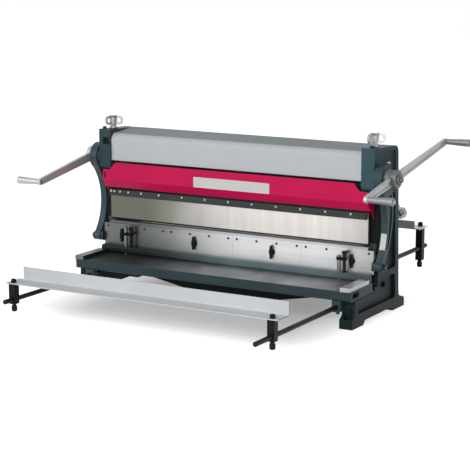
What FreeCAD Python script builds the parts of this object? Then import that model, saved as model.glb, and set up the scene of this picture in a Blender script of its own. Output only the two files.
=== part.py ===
import FreeCAD
import Part
import math
import os

V = FreeCAD.Vector

# ---------------------------------------------------------------------------
# Frame of reference: millimetres, X to the right, Y to the back, Z up from
# the bench.  X = 0 is the middle of the working width, Y = 0 lies midway
# between the front and rear foot bolts, Z = 0 is the underside of the feet.
# ---------------------------------------------------------------------------

# Clearances
SLIDE_FIT = 0.3        # flat faces of sliding pieces
RUNNING_FIT = 0.06     # radial, shaft in bush
SCREW_FIT = 0.05       # radial, fixed screw in its hole
PART_LINE = 0.4        # between neighbouring tool segments

# Leading sizes: the others are reckoned from these
WORK_HALF = 508.0      # half of the working width
TABLE_TOP = 126.0      # machined top of the table
SHAFT_RISE = 344.0     # crankshaft above the table
FOOT_BOLT_Y = 185.0    # half the distance between the two rows of foot bolts

# Rolls
ROLL_R = 25.0
ROLL_Y = -10.0
ROLL_GAP = 1.4
LOWER_Z = TABLE_TOP + SHAFT_RISE
UPPER_Z = LOWER_Z + 2 * ROLL_R + ROLL_GAP
REAR_ROLL = (50.0, LOWER_Z + 20)
JOURNAL_R = 15.0
UPPER_JOURNAL_R = 13.0
REAR_JOURNAL_R = 11.0
NECK_R = 17.0
LIFT = 4.0             # upper roll lift
REAR_BACK = 10.0       # rear roll travel away from the front rolls
REAR_FORWARD = 8.0     # rear roll travel towards them
GEAR_TEETH = 17
GEAR_MODULE = 3.0
GEAR_W = 10.0

# Side frames
FRAME_W = 47.0
FRAME_IN = WORK_HALF - 15      # inner face of each side frame
FRAME_OUT = FRAME_IN + FRAME_W
FRAME_TOP = LOWER_Z + 100
HEAD_FRONT = -52.0
HEAD_BOTTOM = LOWER_Z - 39
NECK_FRONT = -8.0
SEAT_TOP = TABLE_TOP - 34      # table seat on the frames
FOOT_FRONT = -FOOT_BOLT_Y - 15
FOOT_REAR = FOOT_BOLT_Y + 23
LEG_FRONT = FOOT_FRONT + 20
FOOT_TOP = 30.0
REAR_LOW = FOOT_REAR - 47      # rear edge at the foot
REAR_TOP = REAR_LOW - 24       # rear edge at the head
ARCH_TOP = 14.0                # clear height under the middle of a foot
WEB_POCKET = 11.0              # depth of the lightening panels
HEAD_POCKET = 6.0              # depth of the head's outer panel
FOOT_BOLT_X = (FRAME_IN + FRAME_OUT) / 2
FOOT_BOLT_R = 6.0
BOLT_SEAT_R = 13.0

# Bearing blocks and their screws
UPPER_BLOCK = (22.0, 24.0)       # half length in Y, half height in Z
REAR_BLOCK = (-40.0, 20.0)       # ends along the slide
REAR_BLOCK_W = 17.0              # half width across the slide
WINDOW_X = FRAME_OUT - 10        # bottom of the blind bearing windows
SCREW_X = FRAME_IN + 22
TOP_SCREW_Y = 2.0                # upper roll's screw
TOP_SCREW_R = 7.0
REAR_SCREW_R = 7.0
SCREW_BOSS_R = 17.0
REAR_BOSS_ALONG = -REAR_TOP + 9  # foot of the rear screw's boss along the slide
REAR_KNOB_ALONG = -REAR_TOP - 102

# Fastenings of the frames
TIE_ROD_YZ = ((60.0, SEAT_TOP + 8), (REAR_TOP - 17, LOWER_Z - 30))
TIE_ROD_R = 14.0
CAP_SHANK = 6.0
CAP_HEAD = 9.0
OILER_R = 4.0
SIDE_OILER = (68.0, LOWER_Z + 40)
TOP_OILER = (FRAME_OUT - 15, -38.0)
SMALL_SCREW_R = 3.0
GUARD_SCREW_X = FRAME_IN + 15
GUARD_SCREW_Z = (LOWER_Z - 104, LOWER_Z - 88)

# Table, shear blades and lower bed
TABLE_HALF = FRAME_OUT - 2
TABLE_FRONT = FOOT_FRONT - 9
BLADE_HALF = WORK_HALF + 4
SHEAR_PLANE = -34.0    # front face of the moving blade
BLADE_GAP = 0.12       # shear clearance
BLADE_T = 12.0
FIXED_BLADE_H = 26.0
BED_Y = (-48.0, -36.0)
BED_DEEP = 22.0        # lower edge of the bed's web at mid width
BED_SHALLOW = 85.0     # lower edge of the web at the frames
BED_FLAT = WORK_HALF * 0.31
RIB_FRONT = -150.0
GUIDE_STRIP = (TABLE_HALF - 36, TABLE_HALF - 2)
GUIDE_STRIP_H = 14.0

# Beam with its plates, V-dies and moving blade
BEAM_HALF = FRAME_OUT - 5.5
PLATE_T = 4.0
PLATE_BOTTOM = TABLE_TOP + 24.5
PLATE_TOP = TABLE_TOP + 104
PLATE_SEGMENTS = 4
PLATE_SCREW_Z = PLATE_TOP - 10
PLATE_SCREW_R = 2.5
BEAM_BACK = -10.0
LEDGE_BACK = 8.0       # rear edge of the ledge and the ribs
TOE_BOTTOM = TABLE_TOP + 11
VDIE_TOP = PLATE_TOP + 10
VDIE_BOTTOM = PLATE_TOP - 4
VDIE_HALF = BLADE_HALF
V_HALF = 7.0           # half width of the V groove
BLADE_LOW = TABLE_TOP + 4      # left end of the raked edge
BLADE_HIGH = TABLE_TOP + 8     # right end of the raked edge
WING_OUTER = WORK_HALF - 52
WING_INNER = WORK_HALF * 0.305
WING_X = (-WING_OUTER, -WING_INNER, WING_INNER, WING_OUTER)
WING_Z = TABLE_TOP + 64
WING_SHANK_R = 5.0
SHOE = (FRAME_IN - 31, FRAME_IN - SLIDE_FIT)
SHOE_BACK = 24.0
PIN_Y = -37.0
PIN_Z = TABLE_TOP + 54
PIN_R = 6.0

# Upper crosshead and bending dies
DIE_TIP = VDIE_TOP + 4.6
DIE_BEVEL = 6.0
DIE_TOP = LOWER_Z - 115
DIE_FRONT = -26.0
DIE_BACK = -14.0
DIE_HALF = WORK_HALF + 2
DIE_JOINTS = (-WORK_HALF * 0.171, WORK_HALF * 0.295)
CLAMP_FRONT = -40.0
CLAMP_Z = (DIE_TOP - 23, DIE_TOP)
CLAMP_HALF = WORK_HALF - 1
CLAMP_PITCH = WORK_HALF * 0.1835   # between the clamp bar's evenly spaced screws
CLAMP_LAST = WORK_HALF * 0.892     # the last of them
CROSS_Z = (DIE_TOP - 37, LOWER_Z - 45)

# Crank, eccentrics and connecting arms
ECCENTRIC_E = 10.0
ECCENTRIC_R = 30.0
ARM_X = (FRAME_OUT + 4, FRAME_OUT + 32)
STRAP_R = 48.0
SWING = 60.0           # crank angle each way
EYE_SHIFT = ECCENTRIC_E * (1 - math.cos(math.radians(SWING))) / 2
EYE_BORE_R = PIN_R + EYE_SHIFT + SLIDE_FIT
EYE_R = 16.0
EYE_Y = PIN_Y - EYE_SHIFT
STRAP_Y = ROLL_Y - ECCENTRIC_E
BOW_MID = (LOWER_Z + PIN_Z) / 2
BOW_FRONT = ((STRAP_Y - 35.5, LOWER_Z - 32.5), (-4.0, BOW_MID - 19), (EYE_Y - 9, PIN_Z + 10))
BOW_REAR = ((STRAP_Y + 41.5, LOWER_Z - 24), (38.0, BOW_MID + 10), (EYE_Y + 13.5, PIN_Z + 8))
BOW_BORDER = 9.0       # solid border round the arm's sunk panel
BOW_PANEL = 4.0        # depth of that panel
HUB_R = 31.0
BOSS_R = 29.5
CRANK_X = (ARM_X[1] + 14, ARM_X[1] + 26)
BOSS_X = CRANK_X[1] + 11
CRANK_TILT = 10.0
LONG_REACH = 432.0
SHORT_REACH = 212.0
LEFT_REACH = 330.0
RIGHT_LEVERS = ((LONG_REACH, CRANK_TILT), (SHORT_REACH, 180.0 + CRANK_TILT))
LEFT_LEVERS = ((LEFT_REACH, 180.0 + CRANK_TILT),)
BAR_H = 28.0
LID_R = 17.0
GRIP_PIN_R = 6.0
GRIP_SLIM = 9.5
GRIP_R = 13.5
GRIP_END = CRANK_X[1] + 87

# Roll lengths
ROLL_HALF = FRAME_IN - 6
GROOVE_X = (ROLL_HALF - 32, ROLL_HALF - 22, ROLL_HALF - 13)
GEAR_X = -ROLL_HALF - 2

# Hold-down bar
HOLD_Y = (-62.0, -36.0)
HOLD_Z = (TABLE_TOP + SLIDE_FIT, TABLE_TOP + 27)
HOLD_HALF = FRAME_OUT - 10
HOLD_LIFT = 4.0
POST_X = (-WORK_HALF + 78, WORK_HALF - 90)
TEE_X = (POST_X[0] + 22, POST_X[1] + 20)
POST_Y = -53.0
POST_R = 5.0
SLEEVE_R = 6.5
SLEEVE_TOP = (TABLE_TOP + 100, TABLE_TOP + 84)
TEE_R = 5.0
TEE_REACH = 9.5
LINK_Z = (TABLE_TOP + 68, TABLE_TOP + 78)

# Guard and roll cover
SHEET = 2.0
GUARD_Y = -58.0
GUARD_HALF = FRAME_OUT - 18
GUARD_TOP = LOWER_Z - 16
GUARD_SHOULDER = LOWER_Z - 42
GUARD_FOLD = LOWER_Z - 79
GUARD_LOW = LOWER_Z - 107
COVER_Y = -43.0
COVER_Z = LOWER_Z - 10
COVER_REAR = REAR_TOP - 43
COVER_TOP = FRAME_TOP - 4
COVER_LIP = 30.0

# Gauges
GAUGE_ROD_X = FRAME_IN - 9
GAUGE_ROD_R = 8.0
FRONT_ROD_Z = SEAT_TOP - 21
REAR_ROD_Z = TABLE_TOP + 24
FRONT_POST_Y = -632.0
REAR_POST_Y = 468.0
ROD_TIPS = (FRONT_POST_Y - 51, FRONT_POST_Y - 108)   # left and right front rods
REAR_ROD_TIP = REAR_POST_Y + 51
POST_W = 25.0
FRONT_POST_FOOT = FRONT_ROD_Z - 14
REAR_POST_FOOT = REAR_ROD_Z - 44
GAUGE_TOP = TABLE_TOP + 1
REAR_GAUGE_TOP = TABLE_TOP + 104
LEG_W = 74.0
FRONT_FLANGE = 42.0
REAR_FLANGE = 26.0
ANGLE_T = 3.5
GAUGE_HALF = WORK_HALF
GAUGE_NOTCH = 20.0
BRACKET_W = 16.0       # half width of the rods' brackets


# ---------------------------------------------------------------------------
# Geometry helpers
# ---------------------------------------------------------------------------

def block(x0, x1, y0, y1, z0, z1):
    """Box between two opposite corners."""
    return Part.makeBox(x1 - x0, y1 - y0, z1 - z0, V(x0, y0, z0))


def bar(radius, start, direction, length):
    """Round bar from a start point along a direction."""
    return Part.makeCylinder(radius, length, V(*start), V(*direction))


def place(plane, a, b, level):
    """Point of an outline in one of the three principal planes."""
    if plane == "side":
        return V(level, a, b)
    if plane == "front":
        return V(a, level, b)
    return V(a, b, level)


def outline(plane, points, level):
    """Closed wire through points (a, b, corner radius), corners as arcs."""
    count = len(points)
    corners = []
    for i in range(count):
        a, b, radius = points[i]
        before = points[i - 1]
        after = points[(i + 1) % count]
        here = V(a, b, 0)
        back = V(before[0], before[1], 0) - here
        ahead = V(after[0], after[1], 0) - here
        if radius <= 0:
            corners.append((here, None, here))
            continue
        back.normalize()
        ahead.normalize()
        half = back.getAngle(ahead) / 2
        run = radius / math.tan(half)
        inward = back + ahead
        inward.normalize()
        centre = here + inward * (radius / math.sin(half))
        corners.append((here + back * run, centre - inward * radius,
                        here + ahead * run))
    edges = []
    for i in range(count):
        first, middle, last = corners[i]
        if middle is not None:
            edges.append(Part.Arc(place(plane, first.x, first.y, level),
                                  place(plane, middle.x, middle.y, level),
                                  place(plane, last.x, last.y, level)).toShape())
        start = corners[(i + 1) % count][0]
        if (start - last).Length > 1e-6:
            edges.append(Part.LineSegment(place(plane, last.x, last.y, level),
                                          place(plane, start.x, start.y, level)).toShape())
    return Part.Wire(edges)


def prism(plane, points, low, high):
    """Rounded outline extruded between two levels of its plane's normal."""
    face = Part.Face(outline(plane, points, low))
    push = {"side": V(1, 0, 0), "front": V(0, 1, 0), "plan": V(0, 0, 1)}[plane]
    return face.extrude(push * (high - low))


def other_side(shape):
    """The same piece handed for the left end of the machine."""
    return shape.mirror(V(0, 0, 0), V(1, 0, 0))


def both(shape):
    """A right-hand piece and its left-hand twin."""
    return Part.makeCompound([shape, other_side(shape)])


def group(shapes):
    """Separate solids kept in one node."""
    return Part.makeCompound(shapes)


def join(first, rest):
    """One clean solid out of several that meet."""
    return first.fuse(rest).removeSplitter()


def chamfered(radius, start, direction, length, bevel=0.8):
    """Round bar with a bevelled far end, for screw heads and bar ends."""
    body = bar(radius, start, direction, length - bevel)
    tip = V(*start) + V(*direction) * (length - bevel)
    cone = Part.makeCone(radius, radius - bevel, bevel, tip, V(*direction))
    return body.fuse(cone).removeSplitter()


def hexagon(across, start, direction, length):
    """Hexagonal bar, across flats, from a start point along a direction."""
    axis = V(*direction)
    side = V(0, 0, 1) if abs(axis.z) < 0.5 else V(1, 0, 0)
    other = axis.cross(side)
    reach = across / math.sqrt(3)
    ring = []
    for i in range(7):
        turn = math.radians(60 * i)
        ring.append(V(*start) + side * (reach * math.cos(turn))
                    + other * (reach * math.sin(turn)))
    return Part.Face(Part.makePolygon(ring)).extrude(axis * length)


def socket_screw(shank, head, start, direction, depth, height):
    """Cap screw: shank below the seat at start, head above it with a socket."""
    axis = V(*direction)
    base = V(*start)
    body = Part.makeCylinder(shank, depth, base - axis * depth, axis)
    cap = Part.makeCylinder(head, height, base, axis)
    socket = hexagon(head * 0.95, tuple(base + axis * (height * 0.45)), direction, height)
    return body.fuse(cap).cut(socket).removeSplitter()


# ---------------------------------------------------------------------------
# Side frames
# ---------------------------------------------------------------------------

def rear_roll_axes():
    """Sliding direction of the rear roll and the direction across it, in YZ."""
    run = math.sqrt(0.5)
    return (-run, run), (run, run)


def rear_point(along, across):
    """YZ point measured from the rear roll's axis in its sliding direction."""
    slide, cross = rear_roll_axes()
    return (REAR_ROLL[0] + slide[0] * along + cross[0] * across,
            REAR_ROLL[1] + slide[1] * along + cross[1] * across)


def slanted_box(along, across, x0, x1, radius=0.0):
    """Prism whose YZ outline lies square to the rear roll's sliding direction."""
    corners = [rear_point(along[0], across[0]), rear_point(along[0], across[1]),
               rear_point(along[1], across[1]), rear_point(along[1], across[0])]
    return prism("side", [(y, z, radius) for y, z in corners], x0, x1)


def side_frame(slotted):
    """Right side frame: C-shaped casting with panels, seats and bearings."""
    body = prism("side", [
        (FOOT_FRONT, 0, 0), (FOOT_FRONT, FOOT_TOP, 8), (LEG_FRONT, FOOT_TOP + 12, 14),
        (LEG_FRONT, SEAT_TOP, 0), (NECK_FRONT, SEAT_TOP, 0),
        (NECK_FRONT, HEAD_BOTTOM, 30), (HEAD_FRONT, HEAD_BOTTOM - 4, 16),
        (HEAD_FRONT, FRAME_TOP, 3), (REAR_TOP, FRAME_TOP - 8, 26),
        (REAR_LOW, FOOT_TOP + 14, 16), (FOOT_REAR, FOOT_TOP, 8), (FOOT_REAR, 0, 0)],
        FRAME_IN, FRAME_OUT)
    slide, _ = rear_roll_axes()
    boss_start = rear_point(REAR_BOSS_ALONG, 0)
    boss = bar(SCREW_BOSS_R, (SCREW_X, boss_start[0], boss_start[1]), (0, -slide[0], -slide[1]),
               26)
    pad = bar(SCREW_BOSS_R, (SCREW_X, TOP_SCREW_Y, FRAME_TOP - 12), (0, 0, 1), 12)
    body = join(body, [boss, pad])
    return body.cut(frame_panels() + frame_bearings(slotted) + frame_holes()).removeSplitter()


def frame_panels():
    """Foot arch and the sunk panels of a frame's outer face."""
    through = (FRAME_IN - 1, FRAME_OUT + 1)
    sunk = (FRAME_OUT - WEB_POCKET, FRAME_OUT + 1)
    arch_half = FOOT_BOLT_Y - 65
    arch = prism("side", [(-arch_half, -5, 0), (16 - arch_half, ARCH_TOP, 12),
                          (arch_half - 16, ARCH_TOP, 12), (arch_half, -5, 0)], *through)
    neck_low = SEAT_TOP + 58
    neck = prism("side", [(14, neck_low, 14), (14, HEAD_BOTTOM - 33, 14),
                          (REAR_TOP - 21, HEAD_BOTTOM - 21, 14), (REAR_TOP - 5, neck_low, 14)],
                 *sunk)
    foot_low = FOOT_TOP + 14
    foot = prism("side", [(LEG_FRONT + 22, foot_low, 10), (LEG_FRONT + 22, SEAT_TOP - 18, 10),
                          (-30, SEAT_TOP - 18, 10), (8, SEAT_TOP + 36, 12),
                          (REAR_LOW - 33, SEAT_TOP + 36, 12), (REAR_LOW - 27, foot_low, 12)],
                 *sunk)
    head = prism("side", [(-30, LOWER_Z + 50, 8), (-30, FRAME_TOP - 14, 8),
                          (REAR_TOP - 19, FRAME_TOP - 22, 12), (REAR_TOP - 15, LOWER_Z + 8, 12),
                          (36, LOWER_Z + 8, 12)], FRAME_OUT - HEAD_POCKET, FRAME_OUT + 1)
    return [arch, neck, foot, head]


def frame_bearings(slotted):
    """Windows of the bearing blocks, the shaft's bush seat and, on one frame, a front slot."""
    front = ROLL_Y - UPPER_BLOCK[0]
    cuts = [block(FRAME_IN - 1, WINDOW_X, front - SLIDE_FIT,
                  ROLL_Y + UPPER_BLOCK[0] + SLIDE_FIT, UPPER_Z - UPPER_BLOCK[1] - SLIDE_FIT,
                  UPPER_Z + UPPER_BLOCK[1] + LIFT + 1),
            slanted_box((REAR_BLOCK[0] - REAR_BACK - 1, REAR_BLOCK[1] + REAR_FORWARD + 0.5),
                        (-REAR_BLOCK_W - SLIDE_FIT, REAR_BLOCK_W + SLIDE_FIT),
                        FRAME_IN - 1, WINDOW_X),
            bar(JOURNAL_R + 4, (FRAME_IN - 1, ROLL_Y, LOWER_Z), (1, 0, 0), FRAME_W + 2)]
    if slotted:
        low, high = UPPER_Z - 5.4, UPPER_Z + 19.6
        side = FRAME_IN + 32.5
        cuts.append(prism("front", [(FRAME_IN - 1, low, 0), (FRAME_IN - 1, high, 0),
                                    (side, high, 6), (side, low, 6)], HEAD_FRONT - 1, front))
    return cuts


def frame_holes():
    """Bolt, screw and oil holes of a frame."""
    slide, _ = rear_roll_axes()
    nose = rear_point(REAR_BLOCK[0] - REAR_BACK, 0)
    cuts = [bar(TOP_SCREW_R + RUNNING_FIT, (SCREW_X, TOP_SCREW_Y, UPPER_Z), (0, 0, 1), 60),
            bar(REAR_SCREW_R + RUNNING_FIT, (SCREW_X, nose[0], nose[1]),
                (0, -slide[0], -slide[1]), 160)]
    for end in (-1, 1):
        cuts.append(bar(FOOT_BOLT_R, (FOOT_BOLT_X, end * FOOT_BOLT_Y, -1), (0, 0, 1), 60))
        cuts.append(bar(BOLT_SEAT_R, (FOOT_BOLT_X, end * FOOT_BOLT_Y, FOOT_TOP - 6),
                        (0, 0, 1), 40))
    for y, z in TIE_ROD_YZ:
        cuts.append(bar(CAP_SHANK + SCREW_FIT, (FRAME_IN - 1, y, z), (1, 0, 0), FRAME_W + 2))
    cuts.append(bar(OILER_R, (FRAME_OUT - HEAD_POCKET - 8, SIDE_OILER[0], SIDE_OILER[1]),
                    (1, 0, 0), 20))
    cuts.append(bar(OILER_R, (TOP_OILER[0], TOP_OILER[1], FRAME_TOP - 10), (0, 0, 1), 20))
    for z in GUARD_SCREW_Z:
        cuts.append(bar(SMALL_SCREW_R + SCREW_FIT, (GUARD_SCREW_X, NECK_FRONT - 1, z),
                        (0, 1, 0), 14))
    return cuts


def tie_rods():
    """Two round bars that hold the frames apart, tapped at both ends."""
    rods = []
    for y, z in TIE_ROD_YZ:
        rod = bar(TIE_ROD_R, (-FRAME_IN, y, z), (1, 0, 0), 2 * FRAME_IN)
        taps = [bar(CAP_SHANK + SCREW_FIT, (side * FRAME_IN, y, z), (-side, 0, 0), 30)
                for side in (-1, 1)]
        rods.append(rod.cut(taps))
    return group(rods)


def cap_screws():
    """Cap screws through the frames into the tie rods."""
    screws = []
    for y, z in TIE_ROD_YZ:
        seat = FRAME_OUT - WEB_POCKET if z < HEAD_BOTTOM - 200 else FRAME_OUT
        screws.append(socket_screw(CAP_SHANK, CAP_HEAD, (seat, y, z), (1, 0, 0),
                                   seat - FRAME_IN + 20, 9))
    return both(group(screws))


def oilers():
    """Oil cups on the head of each frame."""
    seat = FRAME_OUT - HEAD_POCKET
    side = bar(OILER_R, (seat - 8, SIDE_OILER[0], SIDE_OILER[1]), (1, 0, 0), 8)
    cup = Part.makeCone(6.5, 5.0, 7, V(seat, SIDE_OILER[0], SIDE_OILER[1]), V(1, 0, 0))
    top = bar(OILER_R, (TOP_OILER[0], TOP_OILER[1], FRAME_TOP - 10), (0, 0, 1), 10)
    head = chamfered(7, (TOP_OILER[0], TOP_OILER[1], FRAME_TOP), (0, 0, 1), 9, 2)
    return both(group([side.fuse(cup), top.fuse(head)]))


def shaft_bushes():
    """Bronze bushes of the crankshaft in the frames."""
    outer = bar(JOURNAL_R + 4, (FRAME_IN, ROLL_Y, LOWER_Z), (1, 0, 0), FRAME_W)
    inner = bar(JOURNAL_R + RUNNING_FIT, (FRAME_IN - 1, ROLL_Y, LOWER_Z), (1, 0, 0), FRAME_W + 2)
    return both(outer.cut(inner))


# ---------------------------------------------------------------------------
# Table, lower bed and fixed blade
# ---------------------------------------------------------------------------

def table():
    """Cast table with a machined top, a rear rebate and slotted ends."""
    rear = SHEAR_PLANE - BLADE_GAP
    profile = [(TABLE_FRONT, SEAT_TOP + 4, 3), (TABLE_FRONT, TABLE_TOP, 1.5),
               (rear - BLADE_T, TABLE_TOP, 0), (rear - BLADE_T, TABLE_TOP - FIXED_BLADE_H, 0),
               (rear, TABLE_TOP - FIXED_BLADE_H, 0), (rear, SEAT_TOP, 0),
               (TABLE_FRONT + 8, SEAT_TOP, 3)]
    body = prism("side", profile, -TABLE_HALF, TABLE_HALF)
    cuts = []
    for x in POST_X:
        cuts.append(bar(POST_R + SCREW_FIT, (x, POST_Y, SEAT_TOP - 1), (0, 0, 1), 60))
    front, back = TABLE_FRONT + 13, TABLE_FRONT + 59
    for side in (-1, 1):
        open_end, blind = side * (TABLE_HALF + 5), side * (TABLE_HALF - 18)
        cuts.append(prism("plan", [(open_end, front, 0), (open_end, back, 0),
                                   (blind, back, 8), (blind, front, 8)],
                          SEAT_TOP + 10, TABLE_TOP - 8))
    return body.cut(cuts).removeSplitter()


def fixed_blade():
    """Rectangular lower shear blade seated in the table's rebate."""
    rear = SHEAR_PLANE - BLADE_GAP
    return block(-BLADE_HALF, BLADE_HALF, rear - BLADE_T, rear,
                 TABLE_TOP - FIXED_BLADE_H, TABLE_TOP)


def lower_bed():
    """Deep-bellied web under the table's rear, with ribs towards the front."""
    front, back = BED_Y
    web = prism("front", [(-FRAME_IN, SEAT_TOP, 0), (-FRAME_IN, BED_SHALLOW, 0),
                          (-BED_FLAT, BED_DEEP, 0), (BED_FLAT, BED_DEEP, 0),
                          (FRAME_IN, BED_SHALLOW, 0), (FRAME_IN, SEAT_TOP, 0)], front, back)
    ribs = []
    for share in (-0.75, -0.45, -0.15, 0.15, 0.45, 0.75):
        x = share * FRAME_IN
        ribs.append(prism("side", [(RIB_FRONT, SEAT_TOP, 0), (RIB_FRONT, SEAT_TOP - 8, 0),
                                   (front + 1, SEAT_TOP - 28, 0), (front + 1, SEAT_TOP, 0)],
                          x - 5, x + 5))
    return join(web, ribs)


def table_guides():
    """Squaring strips along both ends of the table top."""
    x0, x1 = GUIDE_STRIP
    front, back = TABLE_FRONT - 7, HOLD_Y[0] - 6
    strip = prism("side", [(front, TABLE_TOP, 0), (front, TABLE_TOP + GUIDE_STRIP_H, 2),
                           (back, TABLE_TOP + GUIDE_STRIP_H, 2), (back, TABLE_TOP, 0)], x0, x1)
    return both(strip)


# ---------------------------------------------------------------------------
# Upper crosshead, bending dies and clamp bar
# ---------------------------------------------------------------------------

def upper_crosshead():
    """Bridge between the frames that carries the bending dies."""
    bridge = prism("side", [(DIE_BACK, CROSS_Z[0], 0), (DIE_BACK, CROSS_Z[1], 6),
                            (18, CROSS_Z[1], 6), (18, CROSS_Z[0] + 40, 10),
                            (4, CROSS_Z[0], 4)], -FRAME_IN, FRAME_IN)
    pad = block(-CLAMP_HALF, CLAMP_HALF, DIE_BACK, NECK_FRONT, CLAMP_Z[0], CLAMP_Z[1])
    return join(bridge, [pad])


def bending_dies():
    """Three upper die segments with bevelled working edges."""
    limits = [-DIE_HALF] + list(DIE_JOINTS) + [DIE_HALF]
    middle = (DIE_FRONT + DIE_BACK) / 2
    segments = []
    for left, right in zip(limits[:-1], limits[1:]):
        segments.append(prism("side", [
            (DIE_FRONT, DIE_TOP, 0), (DIE_BACK, DIE_TOP, 0), (DIE_BACK, DIE_TIP + DIE_BEVEL, 0),
            (middle, DIE_TIP, 0), (DIE_FRONT, DIE_TIP + DIE_BEVEL, 0)],
            left + PART_LINE / 2, right - PART_LINE / 2))
    return group(segments)


def die_clamp_bar():
    """Clamp bar that holds the die segments against the crosshead."""
    body = prism("side", [(CLAMP_FRONT, CLAMP_Z[0], 2), (CLAMP_FRONT, CLAMP_Z[1], 2),
                          (DIE_FRONT, CLAMP_Z[1], 0), (DIE_FRONT, CLAMP_Z[0], 0)],
                 -CLAMP_HALF, CLAMP_HALF)
    holes = [bar(SMALL_SCREW_R + SCREW_FIT, (x, CLAMP_FRONT - 1, clamp_screw_z()), (0, 1, 0), 30)
             for x in clamp_screw_x()]
    return body.cut(holes)


def clamp_screw_z():
    """Height of the clamp screws' row."""
    return CLAMP_Z[1] - 7


def clamp_screw_x():
    """Screws along the bar, even on the right and closing up to the left end."""
    places = [CLAMP_LAST - i * CLAMP_PITCH for i in range(8)]
    for gap in (1.03, 0.79, 0.59, 0.38, 0.26, 0.15):
        places.append(places[-1] - gap * CLAMP_PITCH)
    return places


def clamp_screws():
    """Row of cap screws along the clamp bar."""
    return group([bar(SMALL_SCREW_R, (x, CLAMP_FRONT, clamp_screw_z()), (0, 1, 0), 12).fuse(
        chamfered(4.5, (x, CLAMP_FRONT, clamp_screw_z()), (0, -1, 0), 4))
        for x in clamp_screw_x()])


# ---------------------------------------------------------------------------
# Guard and roll cover
# ---------------------------------------------------------------------------

def guard_face(low, high, plane_y):
    """Front face of the guard with its stepped upper corners."""
    points = [(-GUARD_HALF, low, 0), (-GUARD_HALF, GUARD_SHOULDER, 4),
              (30 - GUARD_HALF, GUARD_SHOULDER, 8), (52 - GUARD_HALF, GUARD_TOP, 12),
              (GUARD_HALF - 52, GUARD_TOP, 12), (GUARD_HALF - 30, GUARD_SHOULDER, 8),
              (GUARD_HALF, GUARD_SHOULDER, 4), (GUARD_HALF, low, 0)]
    return prism("front", points, plane_y, high)


def guard():
    """Folded sheet guard in front of the dies, with ends flanged to the necks."""
    inner = GUARD_Y + SHEET
    face = guard_face(GUARD_FOLD, inner, GUARD_Y)
    lip = prism("side", [(GUARD_Y, GUARD_FOLD, 0), (inner, GUARD_FOLD, 0),
                         (CLAMP_FRONT - 2, GUARD_LOW, 0), (CLAMP_FRONT - 4, GUARD_LOW, 0)],
                -GUARD_HALF, GUARD_HALF)
    ends = []
    holes = []
    for side in (-1, 1):
        x0, x1 = sorted((side * GUARD_HALF, side * (GUARD_HALF - SHEET)))
        ends.append(prism("side", [(inner, GUARD_FOLD + 2, 0), (NECK_FRONT, GUARD_FOLD + 2, 0),
                                   (NECK_FRONT, GUARD_LOW - 32, 0), (inner, GUARD_FOLD - 4, 3)],
                          x0, x1))
        x0, x1 = sorted((side * (FRAME_IN + 2), side * (GUARD_HALF - SHEET)))
        ends.append(block(x0, x1, NECK_FRONT - SHEET, NECK_FRONT, GUARD_LOW - 5, GUARD_FOLD - 1))
        inside, outside = side * (GUARD_HALF - 12), side * (GUARD_HALF - 7)
        low, high = GUARD_FOLD + 5, GUARD_SHOULDER - 8
        holes.append(prism("front", [(inside, low, 2), (inside, high, 2), (outside, high, 2),
                                     (outside, low, 2)], GUARD_Y - 1, inner + 1))
        for z in GUARD_SCREW_Z:
            holes.append(bar(SMALL_SCREW_R + SCREW_FIT, (side * GUARD_SCREW_X, NECK_FRONT - 5, z),
                             (0, 1, 0), 8))
    return join(face, [lip] + ends).cut(holes)


def guard_screws():
    """Screws through the guard's end flanges into the frames' necks."""
    screws = []
    for z in GUARD_SCREW_Z:
        head = chamfered(5, (GUARD_SCREW_X, NECK_FRONT - SHEET, z), (0, -1, 0), 4)
        shank = bar(SMALL_SCREW_R, (GUARD_SCREW_X, NECK_FRONT - SHEET, z), (0, 1, 0), SHEET + 10)
        screws.append(head.fuse(shank))
    return both(group(screws))


def roll_cover():
    """Curved sheet cover over the rolls, open towards the rear."""
    shell = cover_space(0.0, COVER_Z, FRAME_IN).cut(
        cover_space(SHEET, COVER_Z - 10, FRAME_IN + 1))
    rear_opening = block(-FRAME_IN - 1, FRAME_IN + 1, COVER_REAR - SHEET - 1, COVER_REAR + 1,
                         COVER_Z - 1, COVER_TOP - COVER_LIP)
    return shell.cut(rear_opening).removeSplitter()


def cover_space(inset, low, half):
    """Space under the cover's curve, drawn in by a sheet's thickness."""
    front, back = COVER_Y + inset, COVER_REAR - inset
    foot = V(-half, front, low)
    bend = V(-half, front, COVER_TOP - 32)
    knee = V(-half, COVER_Y + 8 + 0.6 * inset, COVER_TOP - 16.5 - 0.65 * inset)
    shoulder = V(-half, COVER_Y + 30, COVER_TOP - 9 - inset)
    rear = V(-half, back, COVER_TOP - inset)
    rear_foot = V(-half, back, low)
    wire = Part.Wire([Part.LineSegment(foot, bend).toShape(),
                      Part.Arc(bend, knee, shoulder).toShape(),
                      Part.LineSegment(shoulder, rear).toShape(),
                      Part.LineSegment(rear, rear_foot).toShape(),
                      Part.LineSegment(rear_foot, foot).toShape()])
    return Part.Face(wire).extrude(V(2 * half, 0, 0))


# ---------------------------------------------------------------------------
# Rolls, gears and bearing blocks
# ---------------------------------------------------------------------------

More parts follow.
